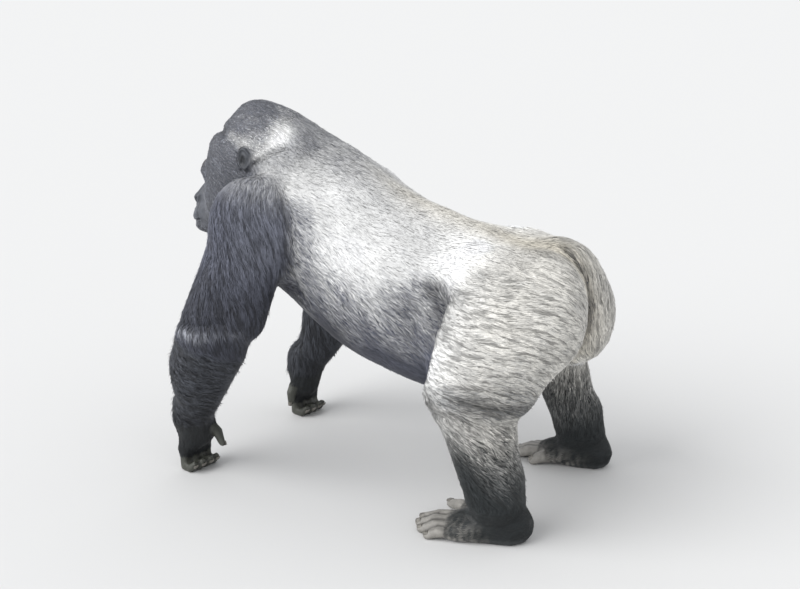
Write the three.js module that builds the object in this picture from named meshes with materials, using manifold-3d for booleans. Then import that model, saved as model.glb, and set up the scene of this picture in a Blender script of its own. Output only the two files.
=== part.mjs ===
// A life-size male gorilla standing on its feet and the backs of its fingers.
// Units are millimetres, +Z is up, the animal faces -Y and its left side is +X.
//
// The body is modelled whole, as soft masses of muscle that blend into each other, turned into a
// faceted skin, and then parted with thin cuts where its head, neck, limbs and digits begin.
import * as THREE from 'three';
import { triTable } from 'three/addons/objects/MarchingCubes.js';
import { mergeVertices } from 'three/addons/utils/BufferGeometryUtils.js';
import Module from 'manifold-3d';

const wasm = await Module();
wasm.setup();

// ---------------------------------------------------------------- driving dimensions
const GAP = 0.6; // width of the thin cuts between named parts
const HIP = { across: 150, back: 480, up: 675 };
const SHOULDER = { across: 232, back: -285, up: 872 };
const CROWN = 1150; // height of the crest of the skull over the floor
const BODY_CELL = 13; // sampling steps of the faceted skin
const HEAD_CELL = 7.5;
const PAW_CELL = 6;
const DIGIT_CELL = 4;
const BODY_TRIANGLES = 2600; // facets of each skin before it is parted
const HEAD_TRIANGLES = 1250;
const HAND_TRIANGLES = 210;
const FOOT_TRIANGLES = 270;
const DIGIT_TRIANGLES = 42;
const EAR_TRIANGLES = 100;
const FACET_SLACK = 0.25; // facets flatter than this are joined
const FINE_SLACK = 0.02;

const LEFT = 1;
const RIGHT = -1;
const V = (x, y, z) => new THREE.Vector3(x, y, z);

// ---------------------------------------------------------------- soft masses
// Each mass gives the signed distance from a point to its surface, and a ball that bounds it.

// An egg with three half-axes, turned by angles in degrees about X, Y and Z.
function egg(centre, half, turn = [0, 0, 0]) {
  const euler = new THREE.Euler(...turn.map(THREE.MathUtils.degToRad), 'XYZ');
  const m = new THREE.Matrix4().makeRotationFromEuler(euler).transpose().elements;
  const { x: cx, y: cy, z: cz } = centre;
  const [a, b, c] = half;
  const distance = (x, y, z) => {
    const dx = x - cx;
    const dy = y - cy;
    const dz = z - cz;
    const u = (m[0] * dx + m[4] * dy + m[8] * dz) / a;
    const v = (m[1] * dx + m[5] * dy + m[9] * dz) / b;
    const w = (m[2] * dx + m[6] * dy + m[10] * dz) / c;
    const scaled = Math.sqrt(u * u + v * v + w * w);
    const slope = Math.sqrt((u / a) ** 2 + (v / b) ** 2 + (w / c) ** 2);
    return slope < 1e-9 ? -Math.min(a, b, c) : (scaled * (scaled - 1)) / slope;
  };
  return { distance, centre, reach: Math.max(a, b, c) };
}

// A limb that tapers from one round end to the other, and may be flattened along one direction.
function limb(from, to, fromRadius, toRadius, flat = 1, along = V(0, 0, 1)) {
  const n = along.clone().normalize();
  const push = 1 / flat - 1; // stretches space along n, so the limb is thinner there
  const spread = (p) => p.clone().addScaledVector(n, push * p.clone().sub(from).dot(n));
  const b = spread(to).sub(from);
  const len2 = b.lengthSq();
  const dr = fromRadius - toRadius;
  const a2 = len2 - dr * dr;
  const inv = 1 / len2;
  const distance = (x, y, z) => {
    const s = push * ((x - from.x) * n.x + (y - from.y) * n.y + (z - from.z) * n.z);
    const px = x - from.x + s * n.x;
    const py = y - from.y + s * n.y;
    const pz = z - from.z + s * n.z;
    const t = px * b.x + py * b.y + pz * b.z;
    const t2 = t - len2;
    const x2 = (px * len2 - b.x * t) ** 2 + (py * len2 - b.y * t) ** 2 + (pz * len2 - b.z * t) ** 2;
    const y2 = t * t * len2;
    const z2 = t2 * t2 * len2;
    const k = Math.sign(dr) * dr * dr * x2;
    if (Math.sign(t2) * a2 * z2 > k) return flat * (Math.sqrt(x2 + z2) * inv - toRadius);
    if (Math.sign(t) * a2 * y2 < k) return flat * (Math.sqrt(x2 + y2) * inv - fromRadius);
    return flat * ((Math.sqrt(x2 * a2 * inv) + t * dr) * inv - fromRadius);
  };
  const centre = from.clone().add(to).multiplyScalar(0.5);
  return { distance, centre, reach: from.distanceTo(to) / 2 + Math.max(fromRadius, toRadius) };
}

// A pile of masses, each blended into those before it. blend is how wide the join is.
class Clay {
  constructor() {
    this.masses = [];
  }
  add(mass, blend = 40) {
    this.masses.push({ ...mass, blend, hollow: false });
    return this;
  }
  carve(mass, blend = 15) {
    this.masses.push({ ...mass, blend, hollow: true });
    return this;
  }
  // Limbs through a row of points with a radius at each.
  chain(points, radii, blend = 30, flat = 1, along = V(0, 0, 1)) {
    for (let i = 0; i + 1 < points.length; i++) {
      this.add(limb(points[i], points[i + 1], radii[i], radii[i + 1], flat, along), blend);
    }
    return this;
  }
  with(other) {
    this.masses.push(...other.masses);
    return this;
  }
  at(x, y, z) {
    let d = 1e6;
    for (const m of this.masses) {
      const dx = x - m.centre.x;
      const dy = y - m.centre.y;
      const dz = z - m.centre.z;
      const far = m.reach + m.blend + (m.hollow ? -d : d);
      if (far < 0 || dx * dx + dy * dy + dz * dz > far * far) continue;
      const own = m.hollow ? -m.distance(x, y, z) : m.distance(x, y, z);
      const h = Math.max(m.blend - Math.abs(d - own), 0) / m.blend;
      const soft = (h * h * m.blend) / 4;
      d = m.hollow ? Math.max(d, own) + soft : Math.min(d, own) - soft;
    }
    return d;
  }
}

// ---------------------------------------------------------------- faceted skins
const SQUARE = [[0, 0], [1, 0], [1, 1], [0, 1]];
const CORNERS = [0, 1].flatMap((k) => SQUARE.map(([i, j]) => [i, j, k])); // of a cube
const RING = [[0, 1], [1, 2], [3, 2], [0, 3]];
const UPRIGHTS = [0, 1, 2, 3].map((c) => [c, c + 4]);
const EDGES = [...RING, ...RING.map(([a, b]) => [a + 4, b + 4]), ...UPRIGHTS]; // of a cube

// Marching cubes over the clay inside a box, closed on all sides. Returns { points, faces }.
function skinOf(clay, box, cell) {
  const size = box.getSize(V(0, 0, 0));
  const [nx, ny, nz] = [size.x, size.y, size.z].map((s) => Math.ceil(s / cell) + 1);
  const values = new Float32Array(nx * ny * nz);
  const index = (i, j, k) => i + nx * (j + ny * k);
  for (let k = 0; k < nz; k++) {
    for (let j = 0; j < ny; j++) {
      for (let i = 0; i < nx; i++) {
        const rim = i === 0 || j === 0 || k === 0 || i === nx - 1 || j === ny - 1 || k === nz - 1;
        const d = clay.at(box.min.x + i * cell, box.min.y + j * cell, box.min.z + k * cell);
        values[index(i, j, k)] = rim ? Math.max(d, cell / 2) : d;
      }
    }
  }
  const points = [];
  const faces = [];
  const seen = new Map();
  const corner = (i, j, k, c) => [i + CORNERS[c][0], j + CORNERS[c][1], k + CORNERS[c][2]];
  const crossing = (i, j, k, e) => {
    const a = corner(i, j, k, EDGES[e][0]);
    const b = corner(i, j, k, EDGES[e][1]);
    const key = index(...a) * 3 + (b[0] > a[0] ? 0 : b[1] > a[1] ? 1 : 2);
    if (!seen.has(key)) {
      const da = values[index(...a)];
      const db = values[index(...b)];
      const t = Math.min(0.97, Math.max(0.03, da / (da - db)));
      seen.set(key, points.length);
      const place = a.map((v, n) => box.min.getComponent(n) + cell * (v + t * (b[n] - v)));
      points.push(V(...place));
    }
    return seen.get(key);
  };
  for (let k = 0; k < nz - 1; k++) {
    for (let j = 0; j < ny - 1; j++) {
      for (let i = 0; i < nx - 1; i++) {
        let kind = 0;
        for (let c = 0; c < 8; c++) {
          if (values[index(...corner(i, j, k, c))] < 0) kind |= 1 << c;
        }
        for (let t = kind * 16; triTable[t] !== -1; t += 3) {
          faces.push([0, 2, 1].map((n) => crossing(i, j, k, triTable[t + n])));
        }
      }
    }
  }
  return { points, faces };
}

const LONG_EDGE_COST = 5e-6; // keeps flat places from being left with very long facets
const FARTHEST_MOVE = 1.2; // a corner moves no farther than this many times its edge's length
const LEAST_TURN = 0.3; // a facet may not turn so far that its normals' cosine falls under this

// Collapses the edges that matter least until a skin has the wanted number of triangles. The cost of
// moving a corner is its squared distance to the planes of the faces round it.
function thinned({ points, faces }, wanted) {
  const around = points.map(() => new Set());
  faces.forEach((f, n) => f.forEach((p) => around[p].add(n)));
  const normalOf = (a, b, c) => b.clone().sub(a).cross(c.clone().sub(a));
  const planes = points.map(() => new Float64Array(10));
  for (const f of faces) {
    const n = normalOf(...f.map((p) => points[p]));
    const area = n.length() / 2;
    n.normalize();
    const q = [n.x, n.y, n.z, -n.dot(points[f[0]])];
    for (const p of f) {
      for (let r = 0, s = 0; r < 4; r++) {
        for (let c = r; c < 4; c++) planes[p][s++] += area * q[r] * q[c];
      }
    }
  }
  const errorAt = (q, { x, y, z }) =>
    q[0] * x * x + 2 * q[1] * x * y + 2 * q[2] * x * z + 2 * q[3] * x + q[4] * y * y +
    2 * q[5] * y * z + 2 * q[6] * y + q[7] * z * z + 2 * q[8] * z + q[9];
  const bestPlace = (q, a, b) => {
    const m = new THREE.Matrix3().set(q[0], q[1], q[2], q[1], q[4], q[5], q[2], q[5], q[7]);
    const middle = points[a].clone().add(points[b]).multiplyScalar(0.5);
    const scale = q[0] + q[4] + q[7];
    if (Math.abs(m.determinant()) > 1e-4 * scale ** 3) {
      const best = V(-q[3], -q[6], -q[8]).applyMatrix3(m.invert());
      if (best.distanceTo(middle) < points[a].distanceTo(points[b]) * FARTHEST_MOVE) return best;
    }
    return middle;
  };
  const stamp = new Uint32Array(points.length);
  const heap = [];
  const swap = (i, j) => ([heap[i], heap[j]] = [heap[j], heap[i]]);
  const push = (entry) => {
    let i = heap.push(entry) - 1;
    for (; i > 0 && heap[i].cost < heap[(i - 1) >> 1].cost; i = (i - 1) >> 1) swap(i, (i - 1) >> 1);
  };
  const pop = () => {
    const top = heap[0];
    const last = heap.pop();
    if (heap.length) {
      heap[0] = last;
      for (let i = 0; ; ) {
        let least = i;
        for (const c of [2 * i + 1, 2 * i + 2]) {
          if (c < heap.length && heap[c].cost < heap[least].cost) least = c;
        }
        if (least === i) break;
        swap(i, least);
        i = least;
      }
    }
    return top;
  };
  const offer = (a, b) => {
    const q = planes[a].map((v, n) => v + planes[b][n]);
    const place = bestPlace(q, a, b);
    const cost = errorAt(q, place) + LONG_EDGE_COST * points[a].distanceToSquared(points[b]) ** 2;
    push({ cost, a, b, place, q, at: stamp[a] + stamp[b] });
  };
  const neighbours = (p) => new Set([...around[p]].flatMap((n) => faces[n]).filter((o) => o !== p));
  points.forEach((_, a) => neighbours(a).forEach((b) => a < b && offer(a, b)));
  let left = faces.length;
  while (left > wanted && heap.length) {
    const { a, b, place, q, at } = pop();
    if (at !== stamp[a] + stamp[b] || !around[a].size || !around[b].size) continue;
    const nearB = neighbours(b);
    const shared = [...neighbours(a)].filter((p) => nearB.has(p));
    const common = [...around[a]].filter((n) => around[b].has(n));
    if (shared.length !== 2 || common.length !== 2) continue;
    const moved = new Set([...around[a], ...around[b]].filter((n) => !common.includes(n)));
    const folds = [...moved].some((n) => {
      const before = normalOf(...faces[n].map((p) => points[p]));
      const after = normalOf(...faces[n].map((p) => (p === a || p === b ? place : points[p])));
      return after.dot(before) < LEAST_TURN * after.length() * before.length() || after.length() < 1e-3;
    });
    if (folds) continue;
    for (const n of common) {
      faces[n].forEach((p) => around[p].delete(n));
      left--;
    }
    for (const n of around[b]) {
      faces[n] = faces[n].map((p) => (p === b ? a : p));
      around[a].add(n);
    }
    around[b].clear();
    points[a].copy(place);
    planes[a] = q;
    stamp[a] += 1;
    stamp[b] += 1e6;
    for (const p of neighbours(a)) offer(Math.min(a, p), Math.max(a, p));
  }
  return { points, faces: faces.filter((f, n) => around[f[0]].has(n)) };
}

function solidFrom(geometry) {
  geometry.deleteAttribute('normal');
  geometry.deleteAttribute('uv');
  const merged = mergeVertices(geometry, 1e-4);
  const vertProperties = new Float32Array(merged.attributes.position.array);
  const triVerts = new Uint32Array(merged.index.array);
  return new wasm.Manifold(new wasm.Mesh({ numProp: 3, vertProperties, triVerts }));
}

function solidOfClay(clay, box, cell, triangles) {
  const { points, faces } = thinned(skinOf(clay, box, cell), triangles);
  const geometry = new THREE.BufferGeometry().setFromPoints(points).setIndex(faces.flat());
  return solidFrom(geometry);
}

function geometryOf(solid) {
  const { numProp, vertProperties, triVerts } = solid.getMesh();
  const flat = new Float32Array((vertProperties.length / numProp) * 3);
  for (let i = 0; i < flat.length / 3; i++) {
    flat.set(vertProperties.subarray(i * numProp, i * numProp + 3), i * 3);
  }
  const geometry = new THREE.BufferGeometry();
  geometry.setAttribute('position', new THREE.BufferAttribute(flat, 3));
  geometry.setIndex(new THREE.BufferAttribute(new Uint32Array(triVerts), 1));
  geometry.computeVertexNormals();
  return geometry;
}

const boxOf = (x0, x1, y0, y1, z0, z1) => new THREE.Box3(V(x0, y0, z0), V(x1, y1, z1));

// ---------------------------------------------------------------- trunk and neck
function trunk() {
  const clay = new Clay();
  clay.add(egg(V(0, -66, 728), [246, 272, 242], [-29, 0, 0]), 1); // rib cage
  clay.add(egg(V(0, 120, 626), [276, 275, 240], [-6, 0, 0]), 90); // belly
  clay.add(egg(V(0, 290, 550), [240, 190, 212], [0, 0, 0]), 90); // lower belly
  clay.add(egg(V(0, 400, 666), [165, 240, 140], [2, 0, 0]), 90); // loin and sacrum
  clay.add(egg(V(0, 540, 672), [92, 118, 128], [0, 0, 0]), 70); // rump
  clay.add(limb(V(0, -60, 852), V(0, -300, 982), 124, 108), 90); // withers and nape
  clay.add(limb(V(0, 20, 824), V(0, 330, 746), 84, 104), 60); // spine muscles
  for (const s of [LEFT, RIGHT]) {
    clay.add(egg(V(s * 140, -130, 850), [124, 200, 112], [-30, s * 22, s * -14]), 80); // shoulder blade
    clay.add(egg(V(s * 112, -250, 772), [118, 100, 128], [-12, 0, 0]), 80); // breast muscle
    clay.add(egg(V(s * 128, 430, 744), [92, 124, 78], [0, s * 20, s * -12]), 60); // hip crest
    clay.add(egg(V(s * 78, 572, 716), [84, 104, 98], [-14, 0, s * -10]), 34); // upper buttock
  }
  return clay;
}

function neck() {
  const clay = new Clay();
  clay.add(limb(V(0, -190, 915), V(0, -365, 985), 140, 108), 80); // neck
  clay.add(limb(V(0, -230, 820), V(0, -440, 850), 116, 82), 70); // throat
  return clay;
}

// ---------------------------------------------------------------- head
const EYE = { across: 34, back: -569, up: 894, radius: 12.5 };
const EAR = { back: -368, up: 1002, half: 25, height: 37 };

function head() {
  const clay = new Clay();
  clay.add(egg(V(0, -425, 975), [104, 100, 112]), 60); // brain case
  clay.add(egg(V(0, -400, CROWN - 76), [62, 94, 82], [-8, 0, 0]), 54); // sagittal crest
  clay.add(egg(V(0, -300, CROWN - 118), [86, 128, 92], [-30, 0, 0]), 70); // nuchal muscle
  clay.add(egg(V(0, -488, 966), [80, 86, 78], [-12, 0, 0]), 26); // forehead
  clay.add(egg(V(0, -496, 842), [84, 82, 96], [8, 0, 0]), 60); // face
  clay.add(egg(V(0, -544, 796), [66, 82, 60], [8, 0, 0]), 50); // muzzle
  clay.add(limb(V(-50, -562, 930), V(50, -562, 930), 26, 26), 26); // brow ridge
  clay.add(egg(V(0, -566, 930), [34, 32, 22]), 20); // middle of the brow
  for (const s of [LEFT, RIGHT]) {
    clay.add(egg(V(s * 60, -442, 985), [56, 94, 96], [0, s * -8, 0]), 50); // temple muscle
    clay.add(egg(V(s * 72, -466, 850), [46, 78, 96], [10, 0, s * 8]), 46); // cheek
    clay.add(egg(V(s * 56, -542, 872), [30, 28, 22]), 24); // cheekbone
    clay.carve(egg(V(s * 36, -594, 895), [27, 25, 16]), 14); // eye socket
  }
  clay.add(limb(V(0, -570, 910), V(0, -600, 860), 13, 20), 24); // bridge of the nose
  clay.add(egg(V(0, -601, 847), [34, 32, 25]), 16); // nose
  for (const s of [LEFT, RIGHT]) {
    clay.add(egg(V(s * 21, -609, 839), [20, 25, 16], [0, 0, s * 14]), 10); // nose wing
  }
  clay.add(egg(V(0, -586, 798), [58, 52, 38]), 20); // upper lip
  clay.add(limb(V(-30, -626, 775), V(30, -626, 775), 17, 17), 20); // lip edge
  clay.add(egg(V(0, -600, 746), [50, 46, 22]), 20); // lower lip
  clay.add(egg(V(0, -578, 746), [44, 44, 29]), 20); // chin
  clay.carve(egg(V(0, -654, 758), [64, 24, 4], [4, 0, 0]), 10); // line of the mouth
  return clay;
}

// The ear: a shallow dish with a rolled rim, set close to the side of the head.
function ear(s, across) {
  const clay = new Clay();
  const { back, up, half, height } = EAR;
  clay.add(egg(V(s * (across + 4), back, up), [11, half, height], [6, 0, s * -6]), 4); // dish
  clay.carve(egg(V(s * (across + 15), back - 2, up + 3), [10, 16, height - 11], [6, 0, s * -6]), 5); // bowl
  clay.add(egg(V(s * (across + 5), back - 3, up - 1), [7, 6, 16], [6, 0, 0]), 5); // inner fold
  return clay;
}

// ---------------------------------------------------------------- arms
const ARMS = {
  left: {
    side: LEFT,
    elbow: V(320, -386, 490),
    wrist: V(256, -524, 176),
    knuckles: V(244, -522, 0),
    yaw: 16,
    thumb: [[-30, 26, 158], [-38, 60, 126], [-36, 87, 92]],
    thumbRoot: { at: [0, 54, 0], facing: [-0.1, 1, 0] },
    thumbSide: -16,
    armpit: { at: [206, -250], facing: [0.8, -0.6] },
  },
  right: {
    side: RIGHT,
    elbow: V(-318, -268, 488),
    wrist: V(-288, -430, 168),
    knuckles: V(-286, -424, 0),
    yaw: -16,
    thumb: [[-52, 2, 132], [-77, 2, 94], [-81, 4, 56]],
    thumbRoot: { at: [-64, 0, 0], facing: [-1, 0, 0] },
    thumbSide: -50,
    armpit: { at: [230, -190], facing: [0.9, -0.44] },
  },
};

function arm({ side, elbow, wrist }) {
  const clay = new Clay();
  const shoulder = V(side * SHOULDER.across, SHOULDER.back, SHOULDER.up);
  const along = elbow.clone().sub(shoulder);
  const part = (t, dx, dy, dz = 0) => shoulder.clone().addScaledVector(along, t).add(V(side * dx, dy, dz));
  clay.add(egg(part(0.06, 26, 8), [96, 106, 116], [-8, 0, 0]), 66); // deltoid
  clay.add(limb(part(0.0, 4, 14), part(1, 0, 2), 94, 92), 50); // upper arm
  clay.add(limb(part(0.35, 8, -6), part(0.85, 4, -27), 72, 78), 40); // biceps
  clay.add(limb(part(0.2, 4, 68), part(0.82, 2, 88), 78, 70), 40); // triceps
  const fore = wrist.clone().sub(elbow);
  const low = (t, dx, dy) => elbow.clone().addScaledVector(fore, t).add(V(side * dx, dy, 0));
  clay.add(limb(low(0, 0, 0), low(1, 0, 0), 96, 52), 40); // forearm
  clay.add(egg(low(0.3, 4, -22), [80, 94, 128], [-20, 0, 0]), 40); // forearm bulge
  clay.add(egg(low(0.04, 0, 48), [58, 60, 64]), 36); // point of the elbow
  clay.add(limb(low(0.15, 0, 50), low(0.8, 0, 18), 62, 46), 40); // long hair under the forearm
  return clay;
}

// A hand's own frame: X across to its outer side, Y back, Z up, on the floor under its knuckles.
function handFrame({ side, knuckles, yaw }) {
  const turn = new THREE.Matrix4().makeRotationZ(THREE.MathUtils.degToRad(-side * yaw));
  return (x, y, z) => V(side * x, y, z).applyMatrix4(turn).add(knuckles);
}

const FINGERS = [
  { name: 'index', across: -43, size: 0.92 },
  { name: 'middle', across: -14.5, size: 1.0 },
  { name: 'ring', across: 14.5, size: 0.97 },
  { name: 'little', across: 42, size: 0.85 },
];
const THUMB_RADII = [17, 14.5, 11];
const FINGER_TOP = 50; // fingers are parted from the palm at this height

const PRESSED = 2.5; // how far the pads of fingers and toes are flattened by the floor
const FINGER_RADII = [18, 17.5, 15.5, 12.5]; // from the palm to the tip, for a finger of size 1

// Where the last bone of a finger starts (0) and ends (1), behind and above the knuckles.
const fingerEnd = (size, n) => [(20 + 25 * n) * size, FINGER_RADII[2] * size - PRESSED + 21 * n];

// A finger goes down and forward from the palm, back along the floor, and up to its tip.
function finger(hand, { across, size }) {
  const at = handFrame(hand);
  const root = at(across, -15, 78);
  const bend = at(across, -10, FINGER_RADII[1] * size - PRESSED);
  const [last, tip] = [0, 1].map((n) => at(across, ...fingerEnd(size, n)));
  return new Clay().chain([root, bend, last, tip], FINGER_RADII.map((r) => r * size), 8);
}

// The palm stands upright over the fingers, with the thumb behind it.
function palm(hand) {
  const at = handFrame(hand);
  const clay = new Clay();
  clay.add(limb(hand.wrist.clone().add(V(0, -2, 40)), hand.wrist, 62, 50), 30);
  clay.add(limb(hand.wrist, at(0, 2, 112), 50, 44), 30); // wrist
  for (const { across, size } of FINGERS) {
    clay.add(limb(at(across * 0.66, 2, 140), at(across, -14, 74), 27, 22 * size), 24); // bones of the palm
    clay.add(limb(at(across, -14, 70), at(across, -10, 26), 20 * size, 17.5 * size), 12);
  }
  clay.add(egg(at(-40, 12, 130), [22, 24, 40]), 26); // ball of the thumb
  clay.chain(hand.thumb.map((p) => at(...p)), THUMB_RADII, 8);
  return clay;
}

// ---------------------------------------------------------------- legs
const LEGS = {
  left: {
    side: LEFT,
    knee: V(284, 424, 430),
    ankle: V(244, 512, 128),
    heel: V(228, 568, 0),
    yaw: 10.5,
    length: 0.95,
    calf: 50,
    girth: 1,
    width: 1.06,
    seat: { at: [-28, 86, -66], size: [108, 134, 172], tilt: -28 },
    back: 94,
    great: [-124, -232, 13.5],
  },
  right: {
    side: RIGHT,
    knee: V(-292, 468, 410),
    ankle: V(-312, 590, 128),
    heel: V(-322, 644, 0),
    yaw: -8,
    length: 0.9,
    calf: 38,
    girth: 0.86,
    width: 0.76,
    seat: { at: [-26, 98, -86], size: [112, 144, 178], tilt: 6 },
    back: 56,
    great: [-76, -222, 13.5],
  },
};

function leg({ side, knee, ankle, calf, girth, seat, back }) {
  const clay = new Clay();
  const hip = V(side * HIP.across, HIP.back, HIP.up);
  const thigh = knee.clone().sub(hip);
  const part = (t, dx, dy, dz = 0) => hip.clone().addScaledVector(thigh, t).add(V(side * dx, dy, dz));
  clay.add(egg(part(0, ...seat.at), seat.size, [seat.tilt, 0, 0]), 60); // buttock
  clay.add(limb(part(0.1, 0, -8, -10), part(0.94, -6, 4), 134, 92), 60); // thigh
  clay.add(limb(part(0.25, -4, back + 18), part(0.84, -8, back), 108, 92), 50); // back of the thigh
  clay.add(limb(part(0.2, 12, -46), part(0.92, 0, -36), 96, 80), 50); // front of the thigh
  clay.add(egg(part(1.0, 0, -62, 10), [56, 46, 56]), 36); // kneecap
  const shin = ankle.clone().sub(knee);
  const low = (t, dx, dy) => knee.clone().addScaledVector(shin, t).add(V(side * dx, dy, 0));
  clay.add(limb(low(0, 0, 8), low(0.95, 0, 0), 86 * girth, 77 * girth), 50); // shank
  clay.add(egg(low(0.36, 0, calf), [72 * girth, 68 * girth, 122], [14, 0, 0]), 40); // calf
  clay.add(limb(low(0.25, 0, -14), low(0.9, 0, -20), 66 * girth, 62 * girth), 40); // shin
  return clay;
}

// A foot's own frame: X out to its little toe, Y back from the heel, Z up.
function footFrame({ side, heel, yaw, length, width }) {
  const turn = new THREE.Matrix4().makeRotationZ(THREE.MathUtils.degToRad(side * yaw));
  return (x, y, z) => V(side * width * x, length * y, z).applyMatrix4(turn).add(heel);
}

// Toes run from the ball of the foot to their tips, in the foot's frame.
const TOES = [
  { name: 'second', from: [-28, -196, 34], to: [-28, -296, 11.5], radius: 15.5 },
  { name: 'third', from: [1, -200, 33], to: [2, -300, 11.5], radius: 15.5 },
  { name: 'fourth', from: [30, -196, 31], to: [32, -288, 11], radius: 15 },
  { name: 'little', from: [57, -182, 28], to: [60, -262, 10], radius: 14 },
];
const TIP = 0.86; // a toe's tip is this much thinner than its root
const greatToe = ({ great }) => ({ from: [-62, -150, 34], to: great, radius: 17.5 });
const TOE_BASE = -206; // the four lesser toes are parted from the foot here

function toe(leg, { from, to, radius }) {
  const at = footFrame(leg);
  const mid = from.map((v, n) => (v + to[n]) / 2 + (n === 2 ? 6 : 0));
  return new Clay().chain([at(...from), at(...mid), at(...to)], [radius, radius * 0.98, radius * TIP], 10);
}

function foot(leg) {
  const at = footFrame(leg);
  const clay = new Clay();
  clay.add(limb(leg.ankle.clone().add(V(0, 0, 60)), leg.ankle, 76 * leg.girth, 70), 30);
  clay.add(egg(at(0, -4, 50), [46, 54, 56]), 36); // heel
  clay.add(limb(leg.ankle.clone().add(V(0, -6, 0)), at(4, -70, 52), 60, 44), 40); // instep
  clay.add(limb(at(0, -20, 36), at(8, -160, 34), 42, 38), 36); // sole
  clay.add(limb(at(22, -30, 30), at(44, -170, 24), 30, 25), 26); // outer edge
  clay.add(limb(at(-18, -60, 42), at(-58, -150, 34), 38, 24), 30); // ball of the great toe
  for (const { from, to, radius } of TOES) {
    const stem = from.map((v, n) => v + 0.3 * (to[n] - v));
    clay.add(limb(at(from[0] * 0.8, from[1] + 60, from[2] + 6), at(...stem), 24, radius), 18);
  }
  return clay.with(toe(leg, greatToe(leg)));
}

// ---------------------------------------------------------------- materials
const skinMaterial = (color, roughness) => new THREE.MeshStandardMaterial({ color, roughness, metalness: 0 });
const MATERIALS = {
  silver: skinMaterial(0xb9b8b0, 0.85),
  black: skinMaterial(0x34363d, 0.85),
  face: skinMaterial(0x3b3b40, 0.55),
  palm: skinMaterial(0x57554f, 0.6),
  toe: skinMaterial(0x9d9a92, 0.65),
  nail: skinMaterial(0x4a463f, 0.35),
  eye: skinMaterial(0x2b1a10, 0.08),
};

// ---------------------------------------------------------------- putting it together
const gorilla = new THREE.Group();

function addPart(name, solid, material) {
  const mesh = new THREE.Mesh(geometryOf(mainBody(solid.simplify(FINE_SLACK))), material);
  mesh.name = name;
  gorilla.add(mesh);
  return mesh;
}

// The half of space past a plane, as a block.
function beyond({ at, facing }, gap = 0, depth = 3000) {
  const n = facing.clone().normalize();
  const geometry = new THREE.BoxGeometry(2 * depth, 2 * depth, depth);
  const middle = at.clone().addScaledVector(n, depth / 2 - gap);
  geometry.applyQuaternion(new THREE.Quaternion().setFromUnitVectors(V(0, 0, 1), n));
  return solidFrom(geometry.translate(middle.x, middle.y, middle.z));
}

// The space past several planes at once, each moved back by the gap.
const wedge = (cuts, gap = 0) => cuts.map((c) => beyond(c, gap)).reduce((a, b) => a.intersect(b));
const cut = (at, facing) => ({ at, facing });

// The largest body of a solid, without the slivers that a cut can leave.
const mainBody = (solid) => solid.decompose().reduce((a, b) => (b.volume() > a.volume() ? b : a));

// Joins the facets of a solid that are nearly flat to each other.
const eased = (solid) => mainBody(solid.simplify(FACET_SLACK));

// Parts a solid where planes meet round a limb, in one region of space or more. Returns the limb,
// and what it leaves behind.
function severed(solid, ...regions) {
  const space = (gap) => regions.map((cuts) => wedge(cuts, gap)).reduce((a, b) => a.add(b));
  return [mainBody(solid.intersect(space(0))), mainBody(solid.subtract(space(GAP)))];
}

const ABOVE_FLOOR = [cut(V(0, 0, 0), V(0, 0, 1))];

// ---------------------------------------------------------------- the whole animal
const whole = trunk().with(neck()).with(head());
for (const a of Object.values(ARMS)) whole.with(arm(a));
for (const l of Object.values(LEGS)) whole.with(leg(l));
for (const a of Object.values(ARMS)) whole.with(palm(a));
for (const l of Object.values(LEGS)) whole.with(foot(l));

const HEAD_HALF = 165; // half the width of the block that holds the head
const HEAD_CUTS = [
  cut(V(0, -325, 1005), V(0, -0.87, 0.49)),
  cut(V(0, 0, 690), V(0, 0, 1)),
  cut(V(HEAD_HALF, 0, 0), V(-1, 0, 0)),
  cut(V(-HEAD_HALF, 0, 0), V(1, 0, 0)),
];
const NECK_CUTS = [cut(V(0, -196, 980), V(0, -0.87, 0.49)), cut(V(0, -340, 800), V(0, -0.5, 0.87))];
const ARMPIT = V(0, 0, 690); // over this level the arm is parted at the shoulder, under it at the chest

function armCuts({ side, elbow, wrist, armpit }) {
  const shoulder = V(side * SHOULDER.across, SHOULDER.back, SHOULDER.up);
  const bend = elbow.clone().sub(shoulder).normalize().add(wrist.clone().sub(elbow).normalize());
  const behind = cut(V(0, -134, 780), V(0, -1, -0.12));
  const [across, back] = armpit.at;
  const [out, rear] = armpit.facing;
  return {
    hand: [
      cut(wrist.clone().add(V(0, 0, 4)), V(0, 0, -1)),
      cut(V(side * 100, 0, 0), V(side, 0, 0)),
      cut(V(0, -200, 0), V(0, -1, 0)),
    ],
    forearm: [cut(elbow, bend), cut(V(0, -150, 0), V(0, -1, 0)), cut(V(side * 170, 0, 0), V(side, 0, 0))],
    shoulder: [cut(V(side * 256, -140, 650), V(side * 0.94, -0.33, 0.057)), behind, cut(ARMPIT, V(0, 0, 1))],
    upperArm: [cut(V(side * across, back, 0), V(side * out, rear, 0)), cut(ARMPIT, V(0, 0, -1))],
  };
}

function legCuts({ side, knee, ankle }) {
  const groin = cut(V(side * 190, 400, 0), V(side, 1, 0));
  return {
    foot: [
      cut(ankle.clone().add(V(0, 0, -2)), V(0, 0, -1)),
      cut(V(side * 60, 0, 0), V(side, 0, 0)),
      cut(V(0, 100, 0), V(0, 1, 0)),
    ],
    shank: [cut(knee.clone().add(V(0, 0, -4)), V(0, -0.22, -1)), groin],
    thigh: [cut(V(side * 142, 540, 620), V(side * 0.93, 0, -0.37)), groin],
  };
}

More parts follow.
